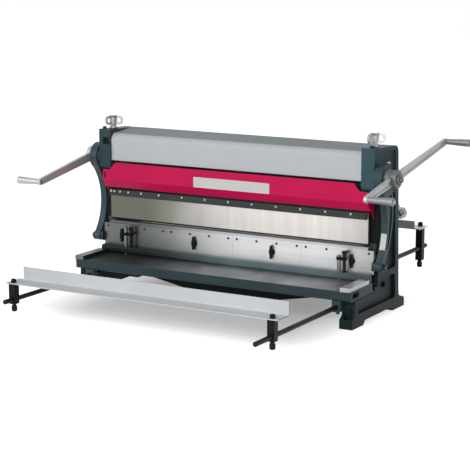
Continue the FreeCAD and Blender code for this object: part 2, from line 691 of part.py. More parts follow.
def gear(x0, centre_y, centre_z, phase, bore):
    """Spur gear with tapered teeth, keyed on a roll's neck."""
    pitch_r = GEAR_MODULE * GEAR_TEETH / 2
    root_r = pitch_r - 1.2 * GEAR_MODULE
    tip_r = pitch_r + 0.85 * GEAR_MODULE
    step = 2 * math.pi / GEAR_TEETH
    ring = []
    for i in range(GEAR_TEETH):
        middle = phase + i * step
        for radius, share in ((root_r, -0.33), (tip_r, -0.11), (tip_r, 0.11), (root_r, 0.33)):
            turn = middle + share * step
            ring.append(V(x0, centre_y + radius * math.cos(turn),
                          centre_z + radius * math.sin(turn)))
    ring.append(ring[0])
    wheel = Part.Face(Part.makePolygon(ring)).extrude(V(GEAR_W, 0, 0))
    return wheel.cut(bar(bore, (x0 - 1, centre_y, centre_z), (1, 0, 0), GEAR_W + 2))


def grooved_roll(centre_y, centre_z, left_end, grooves):
    """Ground roll with round wire grooves near its right end."""
    roll = bar(ROLL_R, (left_end, centre_y, centre_z), (1, 0, 0), ROLL_HALF - left_end)
    if not grooves:
        return roll
    cuts = []
    for i, x in enumerate(GROOVE_X):
        cuts.append(Part.makeTorus(ROLL_R, 3.4 - 0.7 * i, V(x, centre_y, centre_z), V(1, 0, 0)))
    return roll.cut(cuts)


def lower_roll():
    """Lower roll turned in one with its necks and the crankshaft journals."""
    roll = grooved_roll(ROLL_Y, LOWER_Z, GEAR_X + GEAR_W, True)
    neck = bar(NECK_R, (GEAR_X, ROLL_Y, LOWER_Z), (1, 0, 0), GEAR_W)
    journal = bar(JOURNAL_R, (-BOSS_X, ROLL_Y, LOWER_Z), (1, 0, 0), 2 * BOSS_X)
    wheel = gear(GEAR_X, ROLL_Y, LOWER_Z, math.pi / 2, NECK_R)
    return group([join(journal, [roll, neck]), wheel])


def upper_roll():
    """Upper roll with its driven gear."""
    roll = grooved_roll(ROLL_Y, UPPER_Z, GEAR_X + GEAR_W, False)
    neck = bar(NECK_R, (GEAR_X, ROLL_Y, UPPER_Z), (1, 0, 0), GEAR_W)
    journal = bar(UPPER_JOURNAL_R, (-WINDOW_X + 2, ROLL_Y, UPPER_Z), (1, 0, 0), 2 * WINDOW_X - 4)
    phase = -math.pi / 2 + math.pi / GEAR_TEETH
    wheel = gear(GEAR_X, ROLL_Y, UPPER_Z, phase, NECK_R)
    return group([join(journal, [roll, neck]), wheel])


def rear_roll():
    """Idle rear roll with wire grooves."""
    roll = grooved_roll(REAR_ROLL[0], REAR_ROLL[1], -ROLL_HALF, True)
    journal = bar(REAR_JOURNAL_R, (-WINDOW_X + 2, REAR_ROLL[0], REAR_ROLL[1]), (1, 0, 0),
                  2 * WINDOW_X - 4)
    return join(journal, [roll])


def upper_roll_blocks():
    """Bearing blocks of the upper roll, tapped for the lifting screws."""
    body = block(FRAME_IN + 1, WINDOW_X - SLIDE_FIT, ROLL_Y - UPPER_BLOCK[0],
                 ROLL_Y + UPPER_BLOCK[0], UPPER_Z - UPPER_BLOCK[1], UPPER_Z + UPPER_BLOCK[1])
    cuts = [bar(UPPER_JOURNAL_R + RUNNING_FIT, (FRAME_IN, ROLL_Y, UPPER_Z), (1, 0, 0), 60),
            bar(TOP_SCREW_R + RUNNING_FIT, (SCREW_X, TOP_SCREW_Y, UPPER_Z + UPPER_BLOCK[1] - 9),
                (0, 0, 1), 60)]
    return both(body.cut(cuts))


def rear_roll_blocks():
    """Inclined bearing blocks of the rear roll, bored for the adjusting screws."""
    body = slanted_box(REAR_BLOCK, (-REAR_BLOCK_W, REAR_BLOCK_W), FRAME_IN + 1,
                       WINDOW_X - SLIDE_FIT)
    slide, _ = rear_roll_axes()
    start = rear_point(REAR_BLOCK[0] - 1, 0)
    cuts = [bar(REAR_JOURNAL_R + RUNNING_FIT, (FRAME_IN, REAR_ROLL[0], REAR_ROLL[1]),
                (1, 0, 0), 60),
            bar(REAR_SCREW_R + RUNNING_FIT, (SCREW_X, start[0], start[1]),
                (0, slide[0], slide[1]), 25)]
    return both(body.cut(cuts))


def loop_knob(stem_bottom, thread_top):
    """Cast three-loop knob on its screw, along +Z with its seat at Z = 0."""
    stem = bar(TOP_SCREW_R, (0, 0, stem_bottom), (0, 0, 1), thread_top - stem_bottom)
    collar = bar(12, (0, 0, 0.3), (0, 0, 1), 7.7)
    hub = Part.makeCone(10, 14, 30, V(0, 0, 8), V(0, 0, 1))
    crown = Part.makeCone(14, 17, 6, V(0, 0, 38), V(0, 0, 1))
    loops = []
    for i in range(3):
        ring = prism("front", [(6, 12, 4), (6, 44, 6), (37, 42, 12), (33, 12, 12)], -4, 4)
        hole = prism("front", [(14, 20, 3), (16, 36, 3), (30, 35, 7), (27, 19, 6)], -5, 5)
        loop = ring.cut(hole)
        loop.rotate(V(0, 0, 0), V(0, 0, 1), 120 * i + 15)
        loops.append(loop)
    return join(stem, [collar, hub, crown] + loops)


def top_knobs():
    """Knobs of the upper roll's lifting screws, left and right."""
    depth = FRAME_TOP - (UPPER_Z + UPPER_BLOCK[1] - 3)
    made = []
    for side in (-1, 1):
        knob = loop_knob(-depth, 10)
        knob.translate(V(side * SCREW_X, TOP_SCREW_Y, FRAME_TOP))
        made.append(knob)
    return made


def rear_knobs():
    """Round scalloped knobs of the rear roll's adjusting screws."""
    made = []
    reach = -REAR_KNOB_ALONG
    tip = reach + REAR_BLOCK[0] + 12
    for side in (-1, 1):
        stem = bar(REAR_SCREW_R, (0, 0, 0), (0, 0, 1), tip)
        grip = chamfered(21, (0, 0, 0), (0, 0, -1), 16, 2)
        notches = []
        for i in range(8):
            turn = math.radians(45 * i)
            notches.append(bar(5, (23.5 * math.cos(turn), 23.5 * math.sin(turn), 1),
                               (0, 0, -1), 18))
        neck = bar(11, (0, 0, 0), (0, 0, 1), 12)
        knob = join(stem, [grip.cut(notches), neck])
        knob.rotate(V(0, 0, 0), V(1, 0, 0), 45)
        at = rear_point(REAR_KNOB_ALONG, 0)
        knob.translate(V(side * SCREW_X, at[0], at[1]))
        made.append(knob)
    return made


# ---------------------------------------------------------------------------
# Crankshaft, eccentrics, cranks and connecting arms
# ---------------------------------------------------------------------------

def eccentrics():
    """Eccentrics keyed on the shaft outside the frames, flanged inside."""
    disc = bar(ECCENTRIC_R, (FRAME_OUT + SLIDE_FIT, STRAP_Y, LOWER_Z), (1, 0, 0),
               ARM_X[1] - FRAME_OUT - SLIDE_FIT)
    flange = bar(ECCENTRIC_R + 5, (FRAME_OUT + SLIDE_FIT, STRAP_Y, LOWER_Z), (1, 0, 0),
                 ARM_X[0] - FRAME_OUT - 2 * SLIDE_FIT)
    bore = bar(JOURNAL_R, (FRAME_OUT, ROLL_Y, LOWER_Z), (1, 0, 0), 60)
    return both(join(disc, [flange]).cut(bore))


def lever(reach):
    """Lever with a round end, a raised rim and a sunk web."""
    half = BAR_H / 2
    wedge = prism("side", [(0, -half - 1, 0), (0, half + 1, 0), (reach, half - 3, 0),
                           (reach, -half + 3, 0)], CRANK_X[0], CRANK_X[1])
    end = bar(half - 3, (CRANK_X[0], reach, 0), (1, 0, 0), CRANK_X[1] - CRANK_X[0])
    web = prism("side", [(HUB_R + 8, 6 - half, 4), (HUB_R + 8, half - 6, 4),
                         (reach - 22, half - 8, 3), (reach - 22, 8 - half, 3)],
                CRANK_X[1] - 3.5, CRANK_X[1] + 1)
    return wedge.fuse(end).cut(web)


def crank(levers):
    """Crank: hub with one or two levers, given as (reach, angle from +Y)."""
    inner = ARM_X[1] + SLIDE_FIT
    hub = bar(HUB_R, (inner, 0, 0), (1, 0, 0), CRANK_X[0] - inner)
    boss = chamfered(BOSS_R, (CRANK_X[0], 0, 0), (1, 0, 0), BOSS_X - CRANK_X[0], 1.5)
    arms = []
    holes = [bar(JOURNAL_R, (inner - 1, 0, 0), (1, 0, 0), BOSS_X - inner + 2)]
    for reach, angle in levers:
        arm = lever(reach)
        hole = bar(GRIP_PIN_R, (CRANK_X[0] - 1, reach, 0), (1, 0, 0), 30)
        arm.rotate(V(0, 0, 0), V(1, 0, 0), angle)
        hole.rotate(V(0, 0, 0), V(1, 0, 0), angle)
        arms.append(arm)
        holes.append(hole)
    body = join(hub, [boss] + arms).cut(holes)
    lid = chamfered(LID_R, (BOSS_X, 0, 0), (1, 0, 0), 6, 1)
    bolt = hexagon(17, (BOSS_X + 6, 0, 0), (1, 0, 0), 7)
    return group([body, lid.fuse(bolt)])


def right_crank():
    """Double-ended crank on the right end of the shaft."""
    shape = crank(RIGHT_LEVERS)
    shape.translate(V(0, ROLL_Y, LOWER_Z))
    return shape


def left_crank():
    """Single crank on the left end of the shaft."""
    shape = other_side(crank(LEFT_LEVERS))
    shape.translate(V(0, ROLL_Y, LOWER_Z))
    return shape


def grip_axes():
    """Side, Y and Z of the three grips."""
    axes = []
    for side, levers in ((1, RIGHT_LEVERS), (-1, LEFT_LEVERS)):
        for reach, angle in levers:
            turn = math.radians(angle)
            axes.append((side, ROLL_Y + reach * math.cos(turn),
                         LOWER_Z + reach * math.sin(turn)))
    return axes


def grip_pins():
    """Pins riveted in the lever ends, each with a retaining head."""
    pins = []
    for side, y, z in grip_axes():
        x0 = side * CRANK_X[0]
        pin = bar(GRIP_PIN_R, (x0, y, z), (side, 0, 0), GRIP_END + 1 - CRANK_X[0])
        head = chamfered(8, (side * (GRIP_END + 0.6), y, z), (side, 0, 0), 3, 1)
        pins.append(pin.fuse(head).removeSplitter())
    return group(pins)


def grip(side, y, z):
    """Turned grip that spins on its pin, swelling to a rounded outer end."""
    x0 = CRANK_X[1] + SLIDE_FIT
    length = GRIP_END - x0
    body = Part.makeCone(GRIP_SLIM, GRIP_R, length, V(side * x0, y, z), V(side, 0, 0))
    rim = [edge for edge in body.Edges
           if isinstance(edge.Curve, Part.Circle) and edge.Curve.Radius > GRIP_R - 0.1]
    bore = bar(GRIP_PIN_R + RUNNING_FIT, (side * (x0 - 1), y, z), (side, 0, 0), length + 2)
    return body.makeFillet(4.0, rim).cut(bore)


def bow(points):
    """Circle through three YZ points of one of the arm's bowed edges."""
    return Part.Circle(*[V(0, y, z) for y, z in points])


def bow_point(circle, inset, z, level):
    """Point at a height on the circle drawn in by an inset towards its centre."""
    radius = circle.Radius - inset
    return V(level, circle.Center.y + math.sqrt(radius ** 2 - (z - circle.Center.z) ** 2), z)


def crescent(front, rear, inset, x0, x1):
    """Solid between two bowed edges, each given as three heights from the top."""
    edges = []
    for circle, offset, heights in ((front[0], -inset, front[1]), (rear[0], inset, rear[1])):
        edges.append(Part.Arc(*[bow_point(circle, offset, z, x0) for z in heights]).toShape())
    for end in (0, 2):
        edges.append(Part.LineSegment(bow_point(front[0], -inset, front[1][end], x0),
                                      bow_point(rear[0], inset, rear[1][end], x0)).toShape())
    return Part.Face(Part.Wire(Part.__sortEdges__(edges))).extrude(V(x1 - x0, 0, 0))


def connecting_arm():
    """Right connecting arm: strap, shank bowed to the rear and lower eye in one casting."""
    x0, x1 = ARM_X
    strap = bar(STRAP_R, (x0, STRAP_Y, LOWER_Z), (1, 0, 0), x1 - x0)
    eye = bar(EYE_R, (x0, EYE_Y, PIN_Z), (1, 0, 0), x1 - x0)
    front, rear = bow(BOW_FRONT), bow(BOW_REAR)
    shank = crescent((front, [z for _, z in BOW_FRONT]), (rear, [z for _, z in BOW_REAR]), 0.0,
                     x0 + 2, x1 - 2)
    heights = (LOWER_Z - STRAP_R - BOW_BORDER, BOW_MID, PIN_Z + 56)
    panel = crescent((front, heights), (rear, heights), BOW_BORDER, x1 - 2 - BOW_PANEL, x1 + 1)
    body = join(strap, [shank, eye])
    cuts = [bar(ECCENTRIC_R + RUNNING_FIT, (x0 - 1, STRAP_Y, LOWER_Z), (1, 0, 0), 60),
            bar(EYE_BORE_R, (x0 - 1, EYE_Y, PIN_Z), (1, 0, 0), 60), panel]
    return body.cut(cuts)


# ---------------------------------------------------------------------------
# Beam
# ---------------------------------------------------------------------------

def beam():
    """Cast beam with a lower toe, a rear ledge and guide shoes."""
    front = SHEAR_PLANE + PLATE_T
    toe_front = SHEAR_PLANE + BLADE_T
    core = prism("side", [
        (front, PLATE_BOTTOM, 0), (front, VDIE_BOTTOM, 0), (BEAM_BACK, VDIE_BOTTOM, 0),
        (BEAM_BACK, TOE_BOTTOM, 2), (toe_front, TOE_BOTTOM, 0), (toe_front, PLATE_BOTTOM, 0)],
        -BLADE_HALF, BLADE_HALF)
    ledge_low = VDIE_BOTTOM - 6
    ledge = prism("side", [(BEAM_BACK, ledge_low, 0), (BEAM_BACK, VDIE_TOP, 0),
                           (LEDGE_BACK, VDIE_TOP, 2), (LEDGE_BACK, ledge_low, 0)],
                  -SHOE[0], SHOE[0])
    rail = prism("side", [(BEAM_BACK, WING_Z - 14, 0), (BEAM_BACK, WING_Z + 4, 0),
                          (LEDGE_BACK, WING_Z + 2, 3), (LEDGE_BACK, WING_Z - 12, 3)],
                 -SHOE[0], SHOE[0])
    shoe_low = PLATE_BOTTOM + 9.5
    ends = []
    for side in (-1, 1):
        x0, x1 = sorted((side * BLADE_HALF, side * BEAM_HALF))
        ends.append(block(x0, x1, front, BEAM_BACK, PIN_Z - 14, VDIE_BOTTOM))
        x0, x1 = sorted((side * SHOE[0], side * SHOE[1]))
        ends.append(prism("side", [(BEAM_BACK, shoe_low, 0), (BEAM_BACK, VDIE_TOP, 0),
                                   (SHOE_BACK, VDIE_TOP, 4), (SHOE_BACK, shoe_low + 4, 4)], x0, x1))
    ribs = []
    for i in range(-2, 3):
        x = i * SHOE[0] * 0.39
        ribs.append(prism("side", [(BEAM_BACK, TOE_BOTTOM + 5, 0), (BEAM_BACK, VDIE_BOTTOM, 0),
                                   (LEDGE_BACK, VDIE_BOTTOM, 0),
                                   (LEDGE_BACK, TOE_BOTTOM + 28, 6)], x - 5, x + 5))
    body = join(core, [ledge, rail] + ends + ribs)
    cuts = []
    for x in WING_X:
        cuts.append(bar(WING_SHANK_R + RUNNING_FIT, (x, front - 1, WING_Z), (0, 1, 0), 16))
    for x in plate_screw_x():
        cuts.append(bar(PLATE_SCREW_R + SCREW_FIT, (x, front - 1, PLATE_SCREW_Z), (0, 1, 0), 8))
    return body.cut(cuts)


def plate_screw_x():
    """Four screws in each of the four front plates."""
    pitch = 2 * BEAM_HALF / PLATE_SEGMENTS
    places = []
    for i in range(PLATE_SEGMENTS):
        left = -BEAM_HALF + i * pitch
        for j in range(4):
            places.append(left + 17 + j * (pitch - 34) / 3)
    return places


def front_plates():
    """Four ground plates on the beam's face."""
    pitch = 2 * BEAM_HALF / PLATE_SEGMENTS
    plates = []
    for i in range(PLATE_SEGMENTS):
        left = -BEAM_HALF + i * pitch
        plates.append(block(left + PART_LINE / 2, left + pitch - PART_LINE / 2, SHEAR_PLANE,
                            SHEAR_PLANE + PLATE_T, PLATE_BOTTOM, PLATE_TOP))
    holes = [bar(WING_SHANK_R + RUNNING_FIT, (x, SHEAR_PLANE - 1, WING_Z), (0, 1, 0), 6)
             for x in WING_X]
    holes += [bar(PLATE_SCREW_R + SCREW_FIT, (x, SHEAR_PLANE - 1, PLATE_SCREW_Z), (0, 1, 0), 6)
              for x in plate_screw_x()]
    return group([plate.cut(holes) for plate in plates])


def plate_screws():
    """Small screws along the top of the front plates."""
    return group([bar(PLATE_SCREW_R, (x, SHEAR_PLANE, PLATE_SCREW_Z), (0, 1, 0), 9).fuse(
        chamfered(4, (x, SHEAR_PLANE, PLATE_SCREW_Z), (0, -1, 0), 2.4, 0.6))
        for x in plate_screw_x()])


def v_dies():
    """Four V-die segments seated on the beam behind the plates' top edge."""
    front = SHEAR_PLANE + PLATE_T
    middle = (front + BEAM_BACK) / 2
    pitch = 2 * VDIE_HALF / PLATE_SEGMENTS
    segments = []
    for i in range(PLATE_SEGMENTS):
        left = -VDIE_HALF + i * pitch
        segments.append(prism("side", [
            (front, VDIE_BOTTOM, 0), (front, VDIE_TOP, 0), (middle - V_HALF, VDIE_TOP, 0),
            (middle, VDIE_TOP - V_HALF, 0), (middle + V_HALF, VDIE_TOP, 0),
            (BEAM_BACK, VDIE_TOP, 0), (BEAM_BACK, VDIE_BOTTOM, 0)],
            left + PART_LINE / 2, left + pitch - PART_LINE / 2))
    return group(segments)


def moving_blade():
    """Upper shear blade with a raked lower edge."""
    return prism("front", [(-BLADE_HALF, BLADE_LOW, 0), (-BLADE_HALF, PLATE_BOTTOM, 0),
                           (BLADE_HALF, PLATE_BOTTOM, 0), (BLADE_HALF, BLADE_HIGH, 0)],
                 SHEAR_PLANE, SHEAR_PLANE + BLADE_T)


def beam_pins():
    """Lugs on the beam's ends and the headed pins that take the connecting arms' eyes."""
    start, seat = BEAM_HALF + 2, ARM_X[1] + SLIDE_FIT
    rear = BEAM_BACK - 1
    pieces = []
    for side in (-1, 1):
        x0, x1 = sorted((side * BEAM_HALF, side * (ARM_X[0] - 1)))
        lug = prism("side", [(PIN_Y - 13, PIN_Z - 14, 10), (PIN_Y - 13, PIN_Z + 14, 10),
                             (rear, PIN_Z + 22, 4), (rear, PIN_Z - 22, 4)], x0, x1)
        pieces.append(lug.cut(bar(PIN_R, (side * start, PIN_Y, PIN_Z), (side, 0, 0), 30)))
        pin = bar(PIN_R, (side * start, PIN_Y, PIN_Z), (side, 0, 0), seat + 4 - start)
        washer = bar(EYE_R - 3, (side * seat, PIN_Y, PIN_Z), (side, 0, 0), 2.5)
        head = hexagon(17, (side * (seat + 2.5), PIN_Y, PIN_Z), (side, 0, 0), 7)
        pieces.append(join(pin, [washer, head]))
    return group(pieces)


def wing_screw(x):
    """Wing screw through a front plate into the beam, with its washer."""
    y0 = SHEAR_PLANE - SLIDE_FIT
    shank = bar(WING_SHANK_R, (x, SHEAR_PLANE + 10, WING_Z), (0, -1, 0), 10 + SLIDE_FIT + 3)
    washer = bar(12, (x, y0, WING_Z), (0, -1, 0), 2.5)
    hub = Part.makeCone(11, 8, 9, V(x, y0 - 2.5, WING_Z), V(0, -1, 0))
    tip, root = WING_Z + 24, WING_Z + 7
    low_tip, low_root = WING_Z - 24, WING_Z - 7
    wing = prism("front", [(x - 11, low_root, 5), (x - 11, root, 5), (x - 5, tip, 4),
                           (x + 5, tip, 4), (x + 11, root, 5), (x + 11, low_root, 5),
                           (x + 5, low_tip, 4), (x - 5, low_tip, 4)], y0 - 9, y0 - 4)
    return join(shank, [washer, hub, wing])


def beam_guides():
    """Guide bars behind the beam's shoes and wear strips before the necks."""
    front = SHOE_BACK + SLIDE_FIT
    low, high = TOE_BOTTOM - 2, VDIE_TOP + 22
    rear = prism("side", [(front, low, 0), (front, high, 0), (front + 14, high - 6, 4),
                          (front + 14, low + 6, 4)], SHOE[0] + 4, FRAME_IN)
    strip = block(FRAME_IN + 5, FRAME_OUT - 8, BEAM_BACK + SLIDE_FIT, NECK_FRONT, PLATE_BOTTOM,
                  VDIE_TOP + 10)
    return both(group([rear, strip]))


# ---------------------------------------------------------------------------
# Hold-down bar
# ---------------------------------------------------------------------------

def hold_down_bar():
    """Hold-down bar with a relieved foot, sliding on two posts."""
    y0, y1 = HOLD_Y
    z0, z1 = HOLD_Z
    body = prism("side", [(y0, z0 + 8, 2), (y0, z1 - 6, 5), (y0 + 6, z1, 2), (y1, z1, 2),
                          (y1, z0, 1), (y0 + 9, z0, 1)], -HOLD_HALF, HOLD_HALF)
    cuts = [bar(POST_R + RUNNING_FIT, (x, POST_Y, z0 - 1), (0, 0, 1), 60) for x in POST_X]
    cuts += [bar(TEE_R + RUNNING_FIT, (x, POST_Y, z1 - 12), (0, 0, 1), 60) for x in TEE_X]
    return body.cut(cuts)


def hold_down_posts():
    """Posts that stand in the table, with stop sleeves and screw links."""
    stop = HOLD_Z[1] + HOLD_LIFT + SLIDE_FIT
    posts = []
    for x, tee, top in zip(POST_X, TEE_X, SLEEVE_TOP):
        post = bar(POST_R, (x, POST_Y, SEAT_TOP), (0, 0, 1), stop - SEAT_TOP + 1)
        sleeve = chamfered(SLEEVE_R, (x, POST_Y, stop), (0, 0, 1), top - stop, 1.5)
        link = prism("plan", [(x - 9, POST_Y - 8, 6), (tee + 8, POST_Y - 8, 6),
                              (tee + 8, POST_Y + 7, 6), (x - 9, POST_Y + 7, 6)],
                     LINK_Z[0], LINK_Z[1])
        hole = bar(TEE_R + RUNNING_FIT, (tee, POST_Y, LINK_Z[0] - 1), (0, 0, 1), 20)
        posts.append(join(post, [sleeve, link]).cut(hole))
    return group(posts)


def tee_screw(x):
    """Clamp screw with a cross handle, its foot held in the hold-down bar."""
    z1 = HOLD_Z[1]
    handle = z1 + 66
    stem = bar(TEE_R, (x, POST_Y, z1 - 11), (0, 0, 1), 80)
    collar = bar(7, (x, POST_Y, z1 + SLIDE_FIT), (0, 0, 1), 5)
    hub = bar(7.5, (x, POST_Y, handle - 6), (0, 0, 1), 12)
    arms = [bar(3, (x - TEE_REACH, POST_Y, handle), (1, 0, 0), 2 * TEE_REACH),
            bar(3, (x, POST_Y - TEE_REACH, handle), (0, 1, 0), 2 * TEE_REACH)]
    return join(stem, [collar, hub] + arms)


# ---------------------------------------------------------------------------
# Gauges
# ---------------------------------------------------------------------------

def gauge_rods():
    """Round rods that carry the front and rear gauges."""
    rods = []
    front, rear = LEG_FRONT + 30, REAR_TOP - 37
    for side, tip in zip((-1, 1), ROD_TIPS):
        rods.append(chamfered(GAUGE_ROD_R, (side * GAUGE_ROD_X, front, FRONT_ROD_Z), (0, -1, 0),
                              front - tip, 1.5))
        rods.append(chamfered(GAUGE_ROD_R, (side * GAUGE_ROD_X, rear, REAR_ROD_Z), (0, 1, 0),
                              REAR_ROD_TIP - rear, 1.5))
    return group(rods)


def rod_brackets():
    """Brackets under the table and on the frames that clamp the gauge rods."""
    left, right = GAUGE_ROD_X - BRACKET_W, GAUGE_ROD_X + BRACKET_W
    low = FRONT_ROD_Z - 17
    front = prism("front", [(left, low, 8), (left, SEAT_TOP, 0), (right, SEAT_TOP, 0),
                            (right, low, 8)], TABLE_FRONT + 4, LEG_FRONT)
    front = front.cut(bar(GAUGE_ROD_R, (GAUGE_ROD_X, TABLE_FRONT, FRONT_ROD_Z), (0, 1, 0), 40))
    rear_low, rear_high = REAR_ROD_Z - BRACKET_W, REAR_ROD_Z + BRACKET_W
    rear = prism("front", [(left, rear_low, 8), (left, rear_high, 8), (FRAME_IN, rear_high, 0),
                           (FRAME_IN, rear_low, 0)], REAR_TOP - 33, REAR_TOP + 3)
    rear = rear.cut(bar(GAUGE_ROD_R, (GAUGE_ROD_X, REAR_TOP - 34, REAR_ROD_Z), (0, 1, 0), 40))
    screw = hexagon(10, (GAUGE_ROD_X, TABLE_FRONT + 17, low), (0, 0, -1), 8)
    return both(group([front, rear, screw]))


def angle_bar(y_front, top, flange_h, turned):
    """Angle with a wide leg and an upright flange, notched at one end."""
    leg = block(-GAUGE_HALF, GAUGE_HALF, 0, LEG_W, -ANGLE_T, 0)
    flange = block(-GAUGE_HALF + GAUGE_NOTCH, GAUGE_HALF, LEG_W - ANGLE_T, LEG_W, -ANGLE_T,
                   flange_h)
    fillet = prism("side", [(LEG_W - ANGLE_T - 4, 0, 0), (LEG_W - ANGLE_T, 0, 0),
                            (LEG_W - ANGLE_T, 4, 0)], -GAUGE_HALF + GAUGE_NOTCH, GAUGE_HALF)
    body = join(leg, [flange, fillet])
    holes = [bar(4 + SCREW_FIT, (side * GAUGE_ROD_X, 12, -10), (0, 0, 1), 20)
             for side in (-1, 1)]
    body = body.cut(holes)
    if turned:
        body.rotate(V(0, 0, 0), V(0, 0, 1), 180)
        body.translate(V(0, y_front + LEG_W, top))
    else:
        body.translate(V(0, y_front, top))
    return body


def gauge_posts(y, top, rod_z, bottom):
    """Square posts bored for their rods, each with a cap screw on top."""
    half = POST_W / 2
    made = []
    for side in (-1, 1):
        x = side * GAUGE_ROD_X
        post = prism("plan", [(x - half, y - half, 1.5), (x + half, y - half, 1.5),
                              (x + half, y + half, 1.5), (x - half, y + half, 1.5)], bottom, top)
        cuts = [bar(GAUGE_ROD_R + RUNNING_FIT, (x, y - 20, rod_z), (0, 1, 0), 40),
                bar(4 + SCREW_FIT, (x, y, top - 14), (0, 0, 1), 20),
                bar(4 + RUNNING_FIT, (x, y, bottom - 1), (0, 0, 1), rod_z - bottom - 6)]
        made.append(post.cut(cuts))
        screw = bar(4, (x, y, top - 12), (0, 0, 1), 12 + ANGLE_T)
        cap = chamfered(9, (x, y, top + ANGLE_T), (0, 0, 1), 13, 3)
        made.append(screw.fuse(cap).removeSplitter())
    return group(made)


def thumb_knob(x, y, bottom, rod_z):
    """Thumb screw from below that locks a post on its rod."""
    tip = rod_z - GAUGE_ROD_R - 0.3
    stem = bar(4, (x, y, bottom - 12), (0, 0, 1), tip - bottom + 12)
    neck = bar(7, (x, y, bottom - SLIDE_FIT), (0, 0, -1), 9)
    grip_ = chamfered(9.5, (x, y, bottom - SLIDE_FIT - 8), (0, 0, -1), 18, 3)
    return join(stem, [neck, grip_])


# ---------------------------------------------------------------------------
# Assembly
# ---------------------------------------------------------------------------

def build():
    """Every node of the machine by name."""
    nodes = {}
    nodes["right_frame"] = side_frame(False)
    nodes["left_frame"] = other_side(side_frame(True))
    nodes["tie_rods"] = tie_rods()
    nodes["cap_screws"] = cap_screws()
    nodes["oilers"] = oilers()
    nodes["shaft_bushes"] = shaft_bushes()
    nodes["table"] = table()
    nodes["fixed_blade"] = fixed_blade()
    nodes["lower_bed"] = lower_bed()
    nodes["table_guides"] = table_guides()
    nodes["upper_crosshead"] = upper_crosshead()
    nodes["bending_dies"] = bending_dies()
    nodes["die_clamp_bar"] = die_clamp_bar()
    nodes["clamp_screws"] = clamp_screws()
    nodes["guard"] = guard()
    nodes["guard_screws"] = guard_screws()
    nodes["roll_cover"] = roll_cover()
    nodes["beam_guides"] = beam_guides()
    nodes["hold_down_posts"] = hold_down_posts()
    nodes["gauge_rods"] = gauge_rods()
    nodes["rod_brackets"] = rod_brackets()
    nodes["lower_roll"] = lower_roll()
    nodes["eccentrics"] = eccentrics()
    nodes["right_crank"] = right_crank()
    nodes["left_crank"] = left_crank()
    nodes["grip_pins"] = grip_pins()
    names = ("right_long_grip", "right_short_grip", "left_grip")
    for name, (side, y, z) in zip(names, grip_axes()):
        nodes[name] = grip(side, y, z)
    arm = connecting_arm()
    nodes["right_connecting_arm"] = arm
    nodes["left_connecting_arm"] = other_side(arm)
    nodes["beam"] = beam()
    nodes["front_plates"] = front_plates()
    nodes["plate_screws"] = plate_screws()
    nodes["v_dies"] = v_dies()
    nodes["moving_blade"] = moving_blade()
    nodes["beam_pins"] = beam_pins()
    for i, x in enumerate(WING_X):
        nodes["wing_screw_%d" % (i + 1)] = wing_screw(x)
    nodes["upper_roll"] = upper_roll()
    nodes["upper_roll_blocks"] = upper_roll_blocks()
    nodes["left_top_knob"], nodes["right_top_knob"] = top_knobs()
    nodes["rear_roll"] = rear_roll()
    nodes["rear_roll_blocks"] = rear_roll_blocks()
    nodes["left_rear_knob"], nodes["right_rear_knob"] = rear_knobs()
    nodes["hold_down_bar"] = hold_down_bar()
    nodes["left_tee_screw"] = tee_screw(TEE_X[0])
    nodes["right_tee_screw"] = tee_screw(TEE_X[1])
    overhang = POST_W / 2 - 0.5
    nodes["front_gauge_bar"] = angle_bar(FRONT_POST_Y - overhang, GAUGE_TOP, FRONT_FLANGE, False)
    nodes["front_gauge_posts"] = gauge_posts(FRONT_POST_Y, GAUGE_TOP - ANGLE_T, FRONT_ROD_Z,
                                             FRONT_POST_FOOT)
    nodes["rear_gauge_bar"] = angle_bar(REAR_POST_Y + overhang - LEG_W, REAR_GAUGE_TOP,
                                        REAR_FLANGE, True)
    nodes["rear_gauge_posts"] = gauge_posts(REAR_POST_Y, REAR_GAUGE_TOP - ANGLE_T, REAR_ROD_Z,
                                            REAR_POST_FOOT)
    for side, word in ((-1, "left"), (1, "right")):
        x = side * GAUGE_ROD_X
        nodes["front_%s_thumb_knob" % word] = thumb_knob(x, FRONT_POST_Y, FRONT_POST_FOOT,
                                                         FRONT_ROD_Z)
        nodes["rear_%s_thumb_knob" % word] = thumb_knob(x, REAR_POST_Y, REAR_POST_FOOT,
                                                        REAR_ROD_Z)
    return nodes


os.makedirs("parts", exist_ok=True)
for node_name, node_shape in build().items():
    if not node_shape.isValid():
        print("not valid:", node_name)
    print(node_name, "solids", len(node_shape.Solids), "volume", round(node_shape.Volume / 1000, 1))
    node_shape.exportStep(os.path.join("parts", node_name + ".step"))
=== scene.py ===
"""Looks of a bench slip roll machine with a bending beam and a shear table."""

import logging
import math
from dataclasses import dataclass, field, replace
from enum import Enum

import bmesh
import bpy
from mathutils import Matrix, Vector

